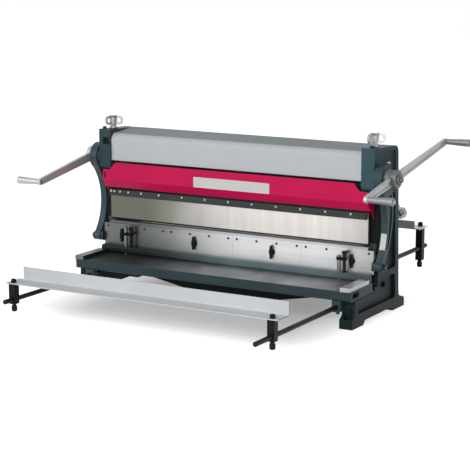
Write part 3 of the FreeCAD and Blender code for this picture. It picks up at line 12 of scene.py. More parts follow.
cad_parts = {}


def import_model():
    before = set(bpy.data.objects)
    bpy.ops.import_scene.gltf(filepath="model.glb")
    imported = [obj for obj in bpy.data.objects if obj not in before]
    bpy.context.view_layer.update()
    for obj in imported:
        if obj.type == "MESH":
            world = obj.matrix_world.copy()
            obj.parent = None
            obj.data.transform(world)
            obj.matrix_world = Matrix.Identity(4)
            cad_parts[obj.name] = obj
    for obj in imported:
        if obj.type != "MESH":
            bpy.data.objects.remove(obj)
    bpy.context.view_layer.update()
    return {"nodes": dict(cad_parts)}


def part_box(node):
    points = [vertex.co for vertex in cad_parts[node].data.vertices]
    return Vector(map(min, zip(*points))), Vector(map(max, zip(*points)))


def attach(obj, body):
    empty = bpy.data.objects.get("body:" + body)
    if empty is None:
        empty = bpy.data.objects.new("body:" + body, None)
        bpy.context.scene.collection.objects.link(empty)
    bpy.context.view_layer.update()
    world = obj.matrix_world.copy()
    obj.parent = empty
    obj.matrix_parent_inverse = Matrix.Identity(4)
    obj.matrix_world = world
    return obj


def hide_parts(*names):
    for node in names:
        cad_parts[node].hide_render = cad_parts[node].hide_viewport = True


LOG = logging.getLogger("slip_roll")
Colour = tuple[float, float, float]
Point = tuple[float, float, float]
Span = tuple[float, float]
Socket = bpy.types.NodeSocket

WHITE: Colour = (1.0, 1.0, 1.0)
UNIT: Span = (0.0, 1.0)
MOTTLE_SPAN: Span = (0.3, 0.7)  # part of the broad noise that the mottle spreads out
SPECK_FULL = 0.82  # noise at which a speck of grime is full
SWAY = 0.12  # how far the edge of a painted dark end wanders, in metres
SWAY_SCALE = 5.0  # how often it wanders
METAL_FROM = 0.5  # how metallic a surface is from which its gloss follows the fine grain
BUMP_STRENGTH = 0.6
WELD = 0.00001  # distance within which two vertices are one, in metres
SLACK = 0.0001  # height above a lug's foot from which its edges are rounded, in metres


class Effect(Enum):
    """Shared effects of the finishes, by the name of their node group."""

    GRAIN = "surface_grain"
    GRIME = "shop_grime"
    LEVEL = "above_level"
    BAND = "height_band"
    # mask of painted shade on the ends of a long piece
    ENDS = "painted_dark_ends"


class Blend(Enum):
    """What a Mix node mixes: its data type, and where its two inputs and its result are."""

    VALUE = ("FLOAT", 2, 3, 0)
    COLOUR = ("RGBA", 6, 7, 2)


# ---------------------------------------------------------------------------
# Node wiring and shared shader effects
# ---------------------------------------------------------------------------


class Wiring:
    """Adds nodes to one node tree and joins them.

    Attributes:
        tree: The node tree.
    """

    def __init__(self, tree: bpy.types.NodeTree) -> None:
        """Take the tree to work on."""
        self.tree = tree

    def add(self, kind: str, **settings: object) -> bpy.types.Node:
        """Add a node and set its properties.

        Args:
            kind: Node type without the ShaderNode prefix.
            settings: Properties to set on the node.

        Returns:
            The new node.
        """
        node = self.tree.nodes.new("ShaderNode" + kind)
        for key, value in settings.items():
            setattr(node, key, value)
        return node

    def feed(self, target: Socket, value: Socket | Colour | Point | float) -> None:
        """Drive an input by another socket, or give it a fixed value.

        Args:
            target: The input.
            value: The socket that drives it, or its number, vector or opaque colour.
        """
        if isinstance(value, bpy.types.NodeSocket):
            self.tree.links.new(value, target)
        elif target.type == "RGBA":
            target.default_value = (*value, 1.0)
        else:
            target.default_value = value

    def math(self, operation: str, *operands: Socket | float) -> Socket:
        """Work out a value with a Math node.

        Args:
            operation: The node's operation.
            operands: What it works on, in the order of its inputs.

        Returns:
            The result's socket.
        """
        node = self.add("Math", operation=operation)
        for target, operand in zip(node.inputs, operands):
            self.feed(target, operand)
        return node.outputs["Value"]

    def vector_math(self, operation: str, *operands: Socket | Point) -> bpy.types.Node:
        """Work on vectors with a Vector Math node.

        Args:
            operation: The node's operation.
            operands: What it works on, in the order of its inputs.

        Returns:
            The node, whose result is its Vector or its Value.
        """
        node = self.add("VectorMath", operation=operation)
        for target, operand in zip(node.inputs, operands):
            self.feed(target, operand)
        return node

    def split(self, place: Socket) -> bpy.types.Node:
        """Split coordinates into X, Y and Z.

        Args:
            place: The coordinates.

        Returns:
            The node, whose outputs they are.
        """
        node = self.add("SeparateXYZ")
        self.feed(node.inputs["Vector"], place)
        return node

    def spread(
        self,
        value: Socket,
        source: tuple[Socket | float, Socket | float] = UNIT,
        target: Span = UNIT,
        smooth: bool = False,
    ) -> Socket:
        """Map a value from one range to another, and hold it at the ends.

        Args:
            value: The value.
            source: Its range.
            target: Range of the result.
            smooth: Whether the result eases in and out.

        Returns:
            The result's socket.
        """
        node = self.add("MapRange", interpolation_type="SMOOTHSTEP" if smooth else "LINEAR")
        self.feed(node.inputs["Value"], value)
        for label, limit in zip(("From Min", "From Max", "To Min", "To Max"), (*source, *target)):
            self.feed(node.inputs[label], limit)
        return node.outputs["Result"]

    def mix(
        self,
        mask: Socket,
        first: Socket | Colour | float,
        second: Socket | Colour | float,
        blend: Blend = Blend.COLOUR,
    ) -> Socket:
        """Mix two colours or values by a mask.

        Args:
            mask: The mask.
            first: What shows where the mask is 0.
            second: What shows where the mask is 1.
            blend: Whether they are colours or values.

        Returns:
            The mixture's socket.
        """
        data_type, first_at, second_at, result_at = blend.value
        node = self.add("Mix", data_type=data_type)
        self.feed(node.inputs["Factor"], mask)
        self.feed(node.inputs[first_at], first)
        self.feed(node.inputs[second_at], second)
        return node.outputs[result_at]

    def effect(self, effect: Effect, place: Socket, **values: float) -> bpy.types.Node:
        """Place a shared effect.

        Args:
            effect: The effect.
            place: Coordinates that it works on.
            values: Values of its own inputs; the others keep their defaults.

        Returns:
            The group's node.
        """
        node = self.add("Group", node_tree=bpy.data.node_groups[effect.value])
        self.feed(node.inputs["Vector"], place)
        for label, value in values.items():
            self.feed(node.inputs[label], value)
        return node

    def painted_dark_ends(self, place: Socket, middle: Socket, ends: Colour | None) -> Socket:
        """Lay painted shade, a darker colour, on the ends of a long piece, leaving its middle as
        it is.

        Args:
            place: Coordinates of the piece.
            middle: Colour of the middle.
            ends: Colour of the painted dark ends, or None where the piece has none.

        Returns:
            The colour's socket.
        """
        if ends is None:
            return middle
        return self.mix(self.effect(Effect.ENDS, place).outputs["Mask"], middle, ends)


class EffectGroup(Wiring):
    """A shader node group with named sockets, built once and placed in each material.

    Attributes:
        start: The group's input node.
        end: The group's output node.
    """

    def __init__(self, effect: Effect, inputs: dict[str, float], outputs: tuple[str, ...]) -> None:
        """Make the group's interface.

        Args:
            effect: The effect that the group makes.
            inputs: Float inputs with their defaults; a Vector input is added first.
            outputs: Names of the float outputs.
        """
        super().__init__(bpy.data.node_groups.new(effect.value, "ShaderNodeTree"))
        sockets = self.tree.interface
        sockets.new_socket("Vector", in_out="INPUT", socket_type="NodeSocketVector")
        for label, value in inputs.items():
            made = sockets.new_socket(label, in_out="INPUT", socket_type="NodeSocketFloat")
            made.default_value = value
        for label in outputs:
            sockets.new_socket(label, in_out="OUTPUT", socket_type="NodeSocketFloat")
        self.start = self.tree.nodes.new("NodeGroupInput")
        self.end = self.tree.nodes.new("NodeGroupOutput")

    def given(self, label: str) -> Socket:
        """Return what the material gives the group under a name."""
        return self.start.outputs[label]

    def put_out(self, label: str, result: Socket) -> None:
        """Put a result out under a name."""
        self.feed(self.end.inputs[label], result)

    def noise(self, scale: Socket | float, detail: float, roughness: float = 0.5) -> Socket:
        """Noise on the group's Vector.

        Args:
            scale: Scale of the noise.
            detail: Octaves of detail.
            roughness: Weight of the finer octaves.

        Returns:
            The noise's socket.
        """
        node = self.add("TexNoise")
        self.feed(node.inputs["Vector"], self.given("Vector"))
        self.feed(node.inputs["Scale"], scale)
        self.feed(node.inputs["Detail"], detail)
        self.feed(node.inputs["Roughness"], roughness)
        return node.outputs["Fac"]


def make_grain() -> None:
    """Make the fine surface height and the broad mottle that every finish shares."""
    group = EffectGroup(Effect.GRAIN, {"Fine": 900.0, "Broad": 9.0}, ("Height", "Mottle"))
    fine = group.noise(group.given("Fine"), detail=3.0)
    broad = group.noise(group.given("Broad"), detail=4.0, roughness=0.6)
    group.put_out("Height", fine)
    group.put_out("Mottle", group.spread(broad, MOTTLE_SPAN))


def make_grime() -> None:
    """Make the mask of sparse specks and rubbed patches."""
    group = EffectGroup(Effect.GRIME, {"Scale": 14.0, "Amount": 0.5}, ("Mask",))
    cloud = group.noise(group.given("Scale"), detail=6.0, roughness=0.7)
    group.put_out("Mask", group.spread(cloud, (group.given("Amount"), SPECK_FULL)))


def make_level() -> None:
    """Make the mask of what lies above a height in the frame."""
    group = EffectGroup(Effect.LEVEL, {"Level": 0.0}, ("Mask",))
    height = group.split(group.given("Vector")).outputs["Z"]
    group.put_out("Mask", group.math("GREATER_THAN", height, group.given("Level")))


def make_band() -> None:
    """Make the mask of what lies between two heights and in front of a depth."""
    group = EffectGroup(Effect.BAND, {"Low": 0.0, "High": 1.0, "Front": 1.0}, ("Mask",))
    place = group.split(group.given("Vector")).outputs
    above = group.math("GREATER_THAN", place["Z"], group.given("Low"))
    below = group.math("LESS_THAN", place["Z"], group.given("High"))
    ahead = group.math("LESS_THAN", place["Y"], group.given("Front"))
    between = group.math("MULTIPLY", above, below)
    group.put_out("Mask", group.math("MULTIPLY", between, ahead))


def make_painted_dark_ends() -> None:
    """Make the mask of a long piece's ends, where painted shade darkens it; its middle stays
    bright.
    """
    group = EffectGroup(Effect.ENDS, {"Centre": 0.24, "Inner": 0.12, "Outer": 0.55}, ("Mask",))
    along = group.split(group.given("Vector")).outputs["X"]
    cloud = group.noise(SWAY_SCALE, detail=2.0)
    swayed = group.math("MULTIPLY_ADD", cloud, SWAY, along)
    away = group.math("ABSOLUTE", group.math("SUBTRACT", swayed, group.given("Centre")))
    fade = group.spread(away, (group.given("Inner"), group.given("Outer")), smooth=True)
    group.put_out("Mask", fade)


# ---------------------------------------------------------------------------
# Finishes
# ---------------------------------------------------------------------------


@dataclass(frozen=True)
class Texture:
    """Grain and mottle that the making of a surface leaves.

    Attributes:
        fine: Scale of the fine grain.
        broad: Scale of the mottle.
        bump: Height of the fine grain, in metres.
        stretch: Scale of the coordinates along X, Y and Z.
    """

    fine: float = 900.0
    broad: float = 9.0
    bump: float = 0.00004
    stretch: Point = (1.0, 1.0, 1.0)


@dataclass
class Layers:
    """Sockets of a surface that is built up layer by layer.

    Attributes:
        place: Object coordinates.
        height: Height of the fine grain.
        mottle: Mask of the mottled areas.
        colour: Colour, as far as it is built.
        rough: Roughness, as far as it is built.
        metal: How metallic the surface is.
    """

    place: Socket
    height: Socket
    mottle: Socket
    colour: Socket
    rough: Socket
    metal: Socket | float


@dataclass(frozen=True)
class Finish:
    """A procedural material for one kind of surface.

    Attributes:
        name: Name of the material.
        slot: Name of its material slot; not used.
        base: Main colour.
        shade: Colour of the mottled areas.
        grime: Colour of specks and rubbed patches.
        rough: Lowest and highest roughness.
        metallic: How metallic the surface is.
        gloss: Specular level of a surface that is not metal.
        texture: Its grain and mottle.
        grime_from: Threshold of the grime mask, lower for more of it.
        ends: Colour of the painted shade on a long piece's ends, if it has it.
    """

    name: str
    slot: str
    base: Colour
    shade: Colour
    grime: Colour
    rough: Span
    metallic: float = 0.0
    gloss: float = 0.5
    texture: Texture = Texture()
    grime_from: float = 0.62
    ends: Colour | None = None

    def material(self) -> bpy.types.Material:
        """Return the material, made on first use under a name of its own."""
        made = bpy.data.materials.get("look_" + self.name)
        return made if made else self.build()

    def build(self) -> bpy.types.Material:
        """Build the layers and the shader that they feed.

        Returns:
            The new material.
        """
        made = bpy.data.materials.new("look_" + self.name)
        made.use_nodes = True
        wires = Wiring(made.node_tree)
        layers = self.layers(wires)
        bump = wires.add("Bump")
        wires.feed(bump.inputs["Strength"], BUMP_STRENGTH)
        wires.feed(bump.inputs["Distance"], self.texture.bump)
        wires.feed(bump.inputs["Height"], layers.height)
        shader = made.node_tree.nodes["Principled BSDF"]
        wires.feed(shader.inputs["Base Color"], layers.colour)
        wires.feed(shader.inputs["Roughness"], layers.rough)
        wires.feed(shader.inputs["Metallic"], layers.metal)
        wires.feed(shader.inputs["Specular IOR Level"], self.gloss)
        wires.feed(shader.inputs["Normal"], bump.outputs["Normal"])
        return made

    def layers(self, wires: Wiring) -> Layers:
        """Build the surface's colour, roughness and grain.

        Args:
            wires: Wiring of the material's node tree.

        Returns:
            The sockets of the surface.
        """
        place = wires.add("TexCoord").outputs["Object"]
        mapping = wires.add("Mapping")
        wires.feed(mapping.inputs["Vector"], place)
        wires.feed(mapping.inputs["Scale"], self.texture.stretch)
        grain = wires.effect(
            Effect.GRAIN, mapping.outputs["Vector"], Fine=self.texture.fine,
            Broad=self.texture.broad,
        ).outputs
        specks = wires.effect(Effect.GRIME, place, Amount=self.grime_from).outputs["Mask"]
        colour = wires.mix(grain["Mottle"], self.base, self.shade)
        colour = wires.mix(specks, colour, self.grime)
        # Painted shade: the ends of a long piece are darker than its middle.
        colour = wires.painted_dark_ends(place, colour, self.ends)
        polish = grain["Height" if self.metallic > METAL_FROM else "Mottle"]
        rough = wires.spread(polish, target=self.rough)
        return Layers(place, grain["Height"], grain["Mottle"], colour, rough, self.metallic)


@dataclass(frozen=True)
class TwoLevelFinish(Finish):
    """A finish whose part above a level has another colour than the part below: another surface,
    or the same surface with painted shade on one of them.

    Attributes:
        level: Height above which the upper surface starts, in metres.
        upper: Colour of the upper surface.
        upper_shade: Colour of its mottled areas.
        upper_metallic: How metallic the upper surface is.
        upper_rough: Its lowest and highest roughness.
        upper_ends: Colour of the painted shade on its ends, if it has it.
    """

    level: float = 0.0
    upper: Colour = (0.3, 0.3, 0.3)
    upper_shade: Colour = (0.25, 0.25, 0.25)
    upper_metallic: float = 1.0
    upper_rough: Span = (0.3, 0.4)
    upper_ends: Colour | None = None

    def layers(self, wires: Wiring) -> Layers:
        """Build the lower surface and lay the upper one over it.

        Args:
            wires: Wiring of the material's node tree.

        Returns:
            The sockets of the surface.
        """
        made = super().layers(wires)
        above = wires.effect(Effect.LEVEL, made.place, Level=self.level).outputs["Mask"]
        upper = wires.mix(made.mottle, self.upper, self.upper_shade)
        # Painted shade on the ends of the upper part.
        upper = wires.painted_dark_ends(made.place, upper, self.upper_ends)
        made.colour = wires.mix(above, made.colour, upper)
        upper_rough = wires.spread(made.height, target=self.upper_rough)
        made.rough = wires.mix(above, made.rough, upper_rough, Blend.VALUE)
        made.metal = wires.spread(above, target=(self.metallic, self.upper_metallic))
        return made


@dataclass(frozen=True)
class BandFinish(Finish):
    """A finish with a band of another colour, between two heights and in front of a depth.

    Attributes:
        low: Height at which the band starts, in metres.
        high: Height at which it ends.
        front: Depth in front of which it lies.
        band: Colour of the band.
        foot: Darker colour towards the bottom, painted shade, if the piece has it.
        foot_fade: Heights at which that colour starts to fade and is gone, in metres.
    """

    low: float = 0.0
    high: float = 1.0
    front: float = 1.0
    band: Colour = (0.01, 0.01, 0.01)
    foot: Colour | None = None
    foot_fade: Span = (0.05, 0.36)

    def layers(self, wires: Wiring) -> Layers:
        """Build the plain surface and lay the painted shade of the foot and the band over it.

        Args:
            wires: Wiring of the material's node tree.

        Returns:
            The sockets of the surface.
        """
        made = super().layers(wires)
        # Painted shade: the colour darkens towards the bottom.
        if self.foot is not None:
            height = wires.split(made.place).outputs["Z"]
            low = wires.spread(height, self.foot_fade[::-1])
            made.colour = wires.mix(low, made.colour, self.foot)
        within = wires.effect(
            Effect.BAND, made.place, Low=self.low, High=self.high, Front=self.front
        ).outputs["Mask"]
        made.colour = wires.mix(within, made.colour, self.band)
        return made


@dataclass(frozen=True)
class BossFinish(Finish):
    """A finish whose rough boss, round one point, is darker.

    Attributes:
        centre: Middle of the boss, in metres.
        reach: Distances from it at which the darker colour starts to fade and is gone.
        boss: Colour of the boss.
    """

    centre: Point = (0.0, 0.0, 0.0)
    reach: Span = (0.02, 0.03)
    boss: Colour = (0.2, 0.2, 0.2)

    def layers(self, wires: Wiring) -> Layers:
        """Build the plain surface and lay the boss over it.

        Args:
            wires: Wiring of the material's node tree.

        Returns:
            The sockets of the surface.
        """
        made = super().layers(wires)
        away = wires.vector_math("DISTANCE", made.place, self.centre).outputs["Value"]
        near = wires.spread(away, self.reach[::-1], smooth=True)
        made.colour = wires.mix(near, made.colour, self.boss)
        return made


CAST = Texture(fine=260.0, broad=7.0, bump=0.0006)
FETTLED = replace(CAST, bump=0.0003)
GROUND_ALONG = Texture(fine=1400.0, broad=30.0, stretch=(0.06, 1.0, 1.0))
BRIGHT_PLATING = Texture(broad=40.0, bump=0.00003)
DULL_PLATING = Texture(fine=300.0, broad=16.0, bump=0.00012)

SLATE = Finish(
    name="slate_paint", slot="slate_paint", base=(0.040, 0.072, 0.085),
    shade=(0.032, 0.059, 0.070), grime=(0.062, 0.082, 0.090), rough=(0.32, 0.44), gloss=0.22,
    texture=CAST, grime_from=0.68,
)
# Frame paint with painted shade: the near-black band stands in for shade on the necks' front faces
# between 0.16 and 0.405 m, and the foot colour darkens the paint towards the bottom.
FRAME_SLATE = BandFinish(
    name="frame_paint", slot="slate_paint", base=(0.042, 0.074, 0.087),
    shade=(0.033, 0.060, 0.071), grime=(0.058, 0.077, 0.085), rough=(0.36, 0.48), gloss=0.08,
    texture=CAST, grime_from=0.68, low=0.16, high=0.405, front=-0.004,
    band=(0.007, 0.008, 0.008), foot=(0.014, 0.022, 0.025),
)
# A lighter copy of the frame paint for the right frame: painted light; its painted shade at the
# foot reaches higher.
RIGHT_SLATE_LIT = replace(
    FRAME_SLATE, name="right_frame_painted_light", base=(0.056, 0.108, 0.128),
    shade=(0.046, 0.088, 0.105), foot_fade=(0.05, 0.44),
)
CLAMP_PAINT = Finish(
    name="clamp_paint", slot="slate_paint", base=(0.050, 0.056, 0.055),
    shade=(0.034, 0.040, 0.039), grime=(0.060, 0.062, 0.060), rough=(0.34, 0.46), gloss=0.20,
    texture=FETTLED, grime_from=0.66,
)
# Hold-down bar: slate lighter than the other slate, painted reflection of the bright plates above
# it, with painted shade at its ends.
HOLD_PAINT = Finish(
    name="hold_paint", slot="slate_paint", base=(0.130, 0.170, 0.185),
    shade=(0.095, 0.128, 0.140), grime=(0.110, 0.130, 0.136), rough=(0.30, 0.42), gloss=0.12,
    texture=FETTLED, grime_from=0.68, ends=(0.014, 0.020, 0.021),
)
# Near-black copy of the slate paint: painted shade, on the bed under the table and on the
# crosshead's end lugs.
SHADED_SLATE = Finish(
    name="slate_painted_shade", slot="slate_paint", base=(0.012, 0.020, 0.023),
    shade=(0.009, 0.015, 0.018), grime=(0.022, 0.028, 0.030), rough=(0.50, 0.65), gloss=0.12,
    texture=CAST, grime_from=0.68,
)
BLACK = Finish(
    name="black_paint", slot="black_paint", base=(0.008, 0.009, 0.009),
    shade=(0.006, 0.007, 0.007), grime=(0.022, 0.022, 0.022), rough=(0.32, 0.45), gloss=0.10,
    texture=Texture(fine=500.0, bump=0.0002), grime_from=0.68,
)
BLACK_STEEL = Finish(
    name="black_steel", slot="black_steel", base=(0.012, 0.012, 0.013),
    shade=(0.008, 0.008, 0.009), grime=(0.03, 0.03, 0.03), rough=(0.32, 0.45), gloss=0.15,
    texture=Texture(fine=800.0, bump=0.0001), grime_from=0.66,
)
GUARD_RED = Finish(
    name="guard_paint", slot="guard_paint", base=(0.65, 0.007, 0.090),
    shade=(0.58, 0.007, 0.082), grime=(0.46, 0.007, 0.068), rough=(0.24, 0.36), gloss=0.16,
    texture=Texture(fine=700.0, broad=5.0, bump=0.0001), grime_from=0.7,
)
# Cover paint whose top, above 0.5558 m, is a darker copy of the same paint: painted shade on the
# top.
COVER_GREY = TwoLevelFinish(
    name="cover_paint", slot="cover_paint", base=(0.575, 0.605, 0.63),
    shade=(0.545, 0.575, 0.60), grime=(0.44, 0.46, 0.47), rough=(0.48, 0.58), gloss=0.06,
    texture=Texture(fine=650.0, broad=5.0, bump=0.00015), grime_from=0.72, level=0.5558,
    upper=(0.36, 0.40, 0.42), upper_shade=(0.29, 0.33, 0.35), upper_metallic=0.0,
    upper_rough=(0.44, 0.54),
)
# Ground steel with painted shade on its ends.
GROUND = Finish(
    name="ground_steel", slot="ground_steel", base=(0.77, 0.77, 0.78), shade=(0.64, 0.64, 0.65),
    grime=(0.52, 0.51, 0.51), rough=(0.30, 0.44), metallic=1.0, texture=GROUND_ALONG,
    grime_from=0.66, ends=(0.130, 0.140, 0.137),
)
# V-die steel: the top above 0.2392 m is near black, painted shade under the dies; the front has
# painted shade on its ends.
VDIE_STEEL = TwoLevelFinish(
    name="vdie_steel", slot="ground_steel", base=(0.58, 0.58, 0.585), shade=(0.48, 0.48, 0.485),
    grime=(0.36, 0.35, 0.35), rough=(0.32, 0.44), metallic=1.0, texture=GROUND_ALONG,
    grime_from=0.66, ends=(0.11, 0.117, 0.115), level=0.2392, upper=(0.045, 0.043, 0.040),
    upper_shade=(0.030, 0.029, 0.027), upper_metallic=0.7, upper_rough=(0.40, 0.55),
)
# Die steel: below 0.2508 m the lower bevel is dark, painted shade; above it ground steel with
# painted shade on its ends.
DIE_STEEL = TwoLevelFinish(
    name="die_steel", slot="ground_steel", base=(0.11, 0.105, 0.10), shade=(0.08, 0.077, 0.073),
    grime=(0.15, 0.14, 0.13), rough=(0.36, 0.50), metallic=1.0,
    texture=Texture(fine=1100.0, broad=36.0, stretch=(0.9, 1.0, 0.05)), grime_from=0.66,
    level=0.2508, upper=(0.74, 0.71, 0.69), upper_shade=(0.62, 0.59, 0.56), upper_metallic=1.0,
    upper_rough=(0.28, 0.42), upper_ends=(0.127, 0.132, 0.107),
)
OILED = Finish(
    name="oiled_steel", slot="ground_steel", base=(0.26, 0.26, 0.265),
    shade=(0.20, 0.20, 0.205), grime=(0.14, 0.138, 0.13), rough=(0.32, 0.46), metallic=1.0,
    texture=replace(GROUND_ALONG, broad=24.0),
)
# Table: painted slate sides and a machined top above 0.1255 m, with painted shade on the top's
# ends.
TABLE_IRON = TwoLevelFinish(
    name="table_iron", slot="slate_paint", base=(0.036, 0.058, 0.068),
    shade=(0.028, 0.047, 0.055), grime=(0.055, 0.068, 0.072), rough=(0.36, 0.48), gloss=0.14,
    texture=FETTLED, grime_from=0.68, level=0.1255, upper=(0.33, 0.36, 0.38),
    upper_shade=(0.16, 0.175, 0.185), upper_metallic=0.6, upper_rough=(0.40, 0.55),
    upper_ends=(0.035, 0.04, 0.04),
)
TURNED = Finish(
    name="turned_steel", slot="turned_steel", base=(0.36, 0.36, 0.37), shade=(0.28, 0.28, 0.29),
    grime=(0.20, 0.195, 0.19), rough=(0.32, 0.46), metallic=1.0,
    texture=Texture(broad=22.0, bump=0.00005, stretch=(3.0, 1.0, 1.0)),
)
DARK_STEEL = Finish(
    name="dark_steel", slot="turned_steel", base=(0.055, 0.058, 0.060),
    shade=(0.040, 0.042, 0.044), grime=(0.09, 0.088, 0.085), rough=(0.38, 0.52), metallic=0.8,
    texture=Texture(broad=22.0, bump=0.00005),
)
BRIGHT = Finish(
    name="bright_screws", slot="bright_screws", base=(0.42, 0.425, 0.44),
    shade=(0.33, 0.335, 0.35), grime=(0.22, 0.22, 0.22), rough=(0.24, 0.36), metallic=1.0,
    texture=BRIGHT_PLATING,
)
OILER_PAIR = TwoLevelFinish(
    name="oil_cups", slot="bright_screws", base=(0.50, 0.505, 0.52), shade=(0.42, 0.425, 0.44),
    grime=(0.30, 0.30, 0.30), rough=(0.24, 0.36), metallic=1.0, texture=BRIGHT_PLATING,
    level=0.545, upper=(0.014, 0.014, 0.015), upper_shade=(0.010, 0.010, 0.011),
    upper_metallic=0.3, upper_rough=(0.35, 0.5),
)
PLATED = Finish(
    name="plated_steel", slot="plated_steel", base=(0.54, 0.545, 0.555),
    shade=(0.45, 0.455, 0.465), grime=(0.26, 0.26, 0.26), rough=(0.44, 0.56), metallic=0.6,
    texture=DULL_PLATING,
)
HUB_STEEL = BossFinish(
    name="hub_steel", slot="plated_steel", base=(0.58, 0.585, 0.595),
    shade=(0.48, 0.485, 0.495), grime=(0.28, 0.28, 0.28), rough=(0.44, 0.56), metallic=0.6,
    texture=DULL_PLATING, centre=(0.601, -0.010, 0.470), reach=(0.034, 0.050),
    boss=(0.17, 0.185, 0.185),
)
GRIP_STEEL = Finish(
    name="grip_steel", slot="plated_steel", base=(0.44, 0.44, 0.46), shade=(0.40, 0.40, 0.415),
    grime=(0.34, 0.34, 0.34), rough=(0.34, 0.42), metallic=1.0,
    texture=Texture(fine=500.0, broad=6.0, bump=0.00002),
)
DARK_GRIP = replace(
    GRIP_STEEL, name="dark_grip", base=(0.26, 0.265, 0.275), shade=(0.22, 0.225, 0.235),
    grime=(0.18, 0.18, 0.18), rough=(0.42, 0.52), metallic=0.9,
)
CAST_KNOB = Finish(
    name="cast_knob", slot="cast_knob", base=(0.42, 0.425, 0.435), shade=(0.36, 0.365, 0.37),
    grime=(0.22, 0.22, 0.22), rough=(0.34, 0.46), metallic=1.0,
    texture=Texture(fine=420.0, broad=20.0, bump=0.0002),
)
GAUGE = Finish(
    name="gauge_steel", slot="gauge_steel", base=(0.60, 0.625, 0.65),
    shade=(0.55, 0.575, 0.595), grime=(0.47, 0.49, 0.50), rough=(0.45, 0.58), gloss=0.15,
    texture=Texture(fine=600.0, broad=6.0, bump=0.0001), grime_from=0.7,
)
BAR_STEEL = Finish(
    name="bar_steel", slot="gauge_steel", base=(0.50, 0.53, 0.52), shade=(0.45, 0.48, 0.47),
    grime=(0.38, 0.40, 0.39), rough=(0.36, 0.48), metallic=1.0,
    texture=Texture(fine=600.0, broad=6.0, bump=0.00005), grime_from=0.7,
)
POST_STEEL = BandFinish(
    name="post_steel", slot="bright_screws", base=(0.24, 0.245, 0.25),
    shade=(0.17, 0.175, 0.18), grime=(0.12, 0.12, 0.12), rough=(0.30, 0.42), metallic=1.0,
    texture=Texture(broad=30.0, bump=0.00003), low=0.1935, high=0.2045,
    band=(0.010, 0.010, 0.010),
)
BRONZE = Finish(
    name="bronze", slot="bronze", base=(0.45, 0.28, 0.10), shade=(0.36, 0.22, 0.08),
    grime=(0.16, 0.10, 0.05), rough=(0.28, 0.42), metallic=1.0,
    texture=Texture(bump=0.00006, stretch=(3.0, 1.0, 1.0)),
)
LABEL_WHITE = Finish(
    name="label_white", slot="bright_screws", base=(0.66, 0.66, 0.66), shade=(0.62, 0.62, 0.62),
    grime=(0.52, 0.51, 0.50), rough=(0.42, 0.52), texture=Texture(fine=800.0, broad=30.0),
    grime_from=0.7,
)


# ---------------------------------------------------------------------------
# Mesh helpers
# ---------------------------------------------------------------------------


def add_object(name: str, work: bmesh.types.BMesh) -> bpy.types.Object:
    """Turn a bmesh into a scene object at the origin.

    Args:
        name: Name of the object.
        work: The bmesh, which is freed.

    Returns:
        The new object.
    """
    mesh = bpy.data.meshes.new(name)
    work.to_mesh(mesh)
    work.free()
    made = bpy.data.objects.new(name, mesh)
    bpy.context.collection.objects.link(made)
    return made


def place_mesh(name: str, work: bmesh.types.BMesh, finish: Finish) -> bpy.types.Object:
    """Turn a finished bmesh into a piece, with its faces outwards.

    Args:
        name: Name of the piece.
        work: The bmesh, which is freed.
        finish: Finish of the piece.

    Returns:
        The piece.
    """
    bmesh.ops.recalc_face_normals(work, faces=work.faces)
    piece = add_object(name, work)
    piece.data.materials.append(finish.material())
    return piece


def soften(
    work: bmesh.types.BMesh, edges: list[bmesh.types.BMEdge], width: float, segments: int = 2
) -> None:
    """Round edges with a bevel.

    Args:
        work: The bmesh.
        edges: Edges to round.
        width: Width of the bevel, in metres.
        segments: Steps round the bevel.
    """
    bmesh.ops.bevel(
        work, geom=edges, offset=width, segments=segments, profile=0.5, affect="EDGES",
        material=-1,
    )


def extrude_back(
    work: bmesh.types.BMesh, outline: list[Point | Vector], depth: float
) -> bmesh.types.BMFace:
    """Extrude an upright outline backwards, along Y.

    Args:
        work: The bmesh that takes it.
        outline: Corners of the front, in order.
        depth: How far back it reaches, in metres.

    Returns:
        The front face.
    """
    front = work.faces.new([work.verts.new(corner) for corner in outline])
    grown = bmesh.ops.extrude_face_region(work, geom=[front])
    back = [part for part in grown["geom"] if isinstance(part, bmesh.types.BMVert)]
    bmesh.ops.translate(work, vec=(0.0, depth, 0.0), verts=back)
    return front


def upright_plate(size: Span, thickness: float, radius: float, centre: Point) -> bmesh.types.BMesh:
    """A thin upright plate with round corners that faces the front.

    Args:
        size: Width and height.
        thickness: Thickness.
        radius: Corner radius.
        centre: Where its middle goes.

    Returns:
        The bmesh.
    """
    work = bmesh.new()
    bmesh.ops.create_cube(work, size=1.0)
    bmesh.ops.scale(work, vec=(*size, thickness), verts=work.verts)
    across = [e for e in work.edges if abs((e.verts[0].co - e.verts[1].co).z) > thickness / 2]
    soften(work, across, radius, segments=4)
    stand = Matrix.Translation(centre) @ Matrix.Rotation(math.pi / 2, 4, "X")
    bmesh.ops.transform(work, matrix=stand, verts=work.verts)
    return work


# ---------------------------------------------------------------------------
# Sub-assemblies
# ---------------------------------------------------------------------------

WING_SCREWS = tuple(f"wing_screw_{number}" for number in range(1, 5))


@dataclass
class SubAssembly:
    """A group of CAD nodes with their finishes and the pieces added to it.

    Attributes:
        nodes: CAD nodes of the machine, by name.
        finishes: Finish of each CAD node of this group.
    """

    nodes: dict[str, bpy.types.Object]
    finishes: dict[str, Finish] = field(default_factory=dict)

    def dress(self) -> None:
        """Give every CAD node of the group its finish."""
        for name, finish in self.finishes.items():
            mesh = self.nodes[name].data
            mesh.materials.clear()
            mesh.materials.append(finish.material())
            LOG.info("dressed %s with %s", name, finish.name)

    def build(self) -> None:
        """Add the group's own pieces; a plain group has none."""


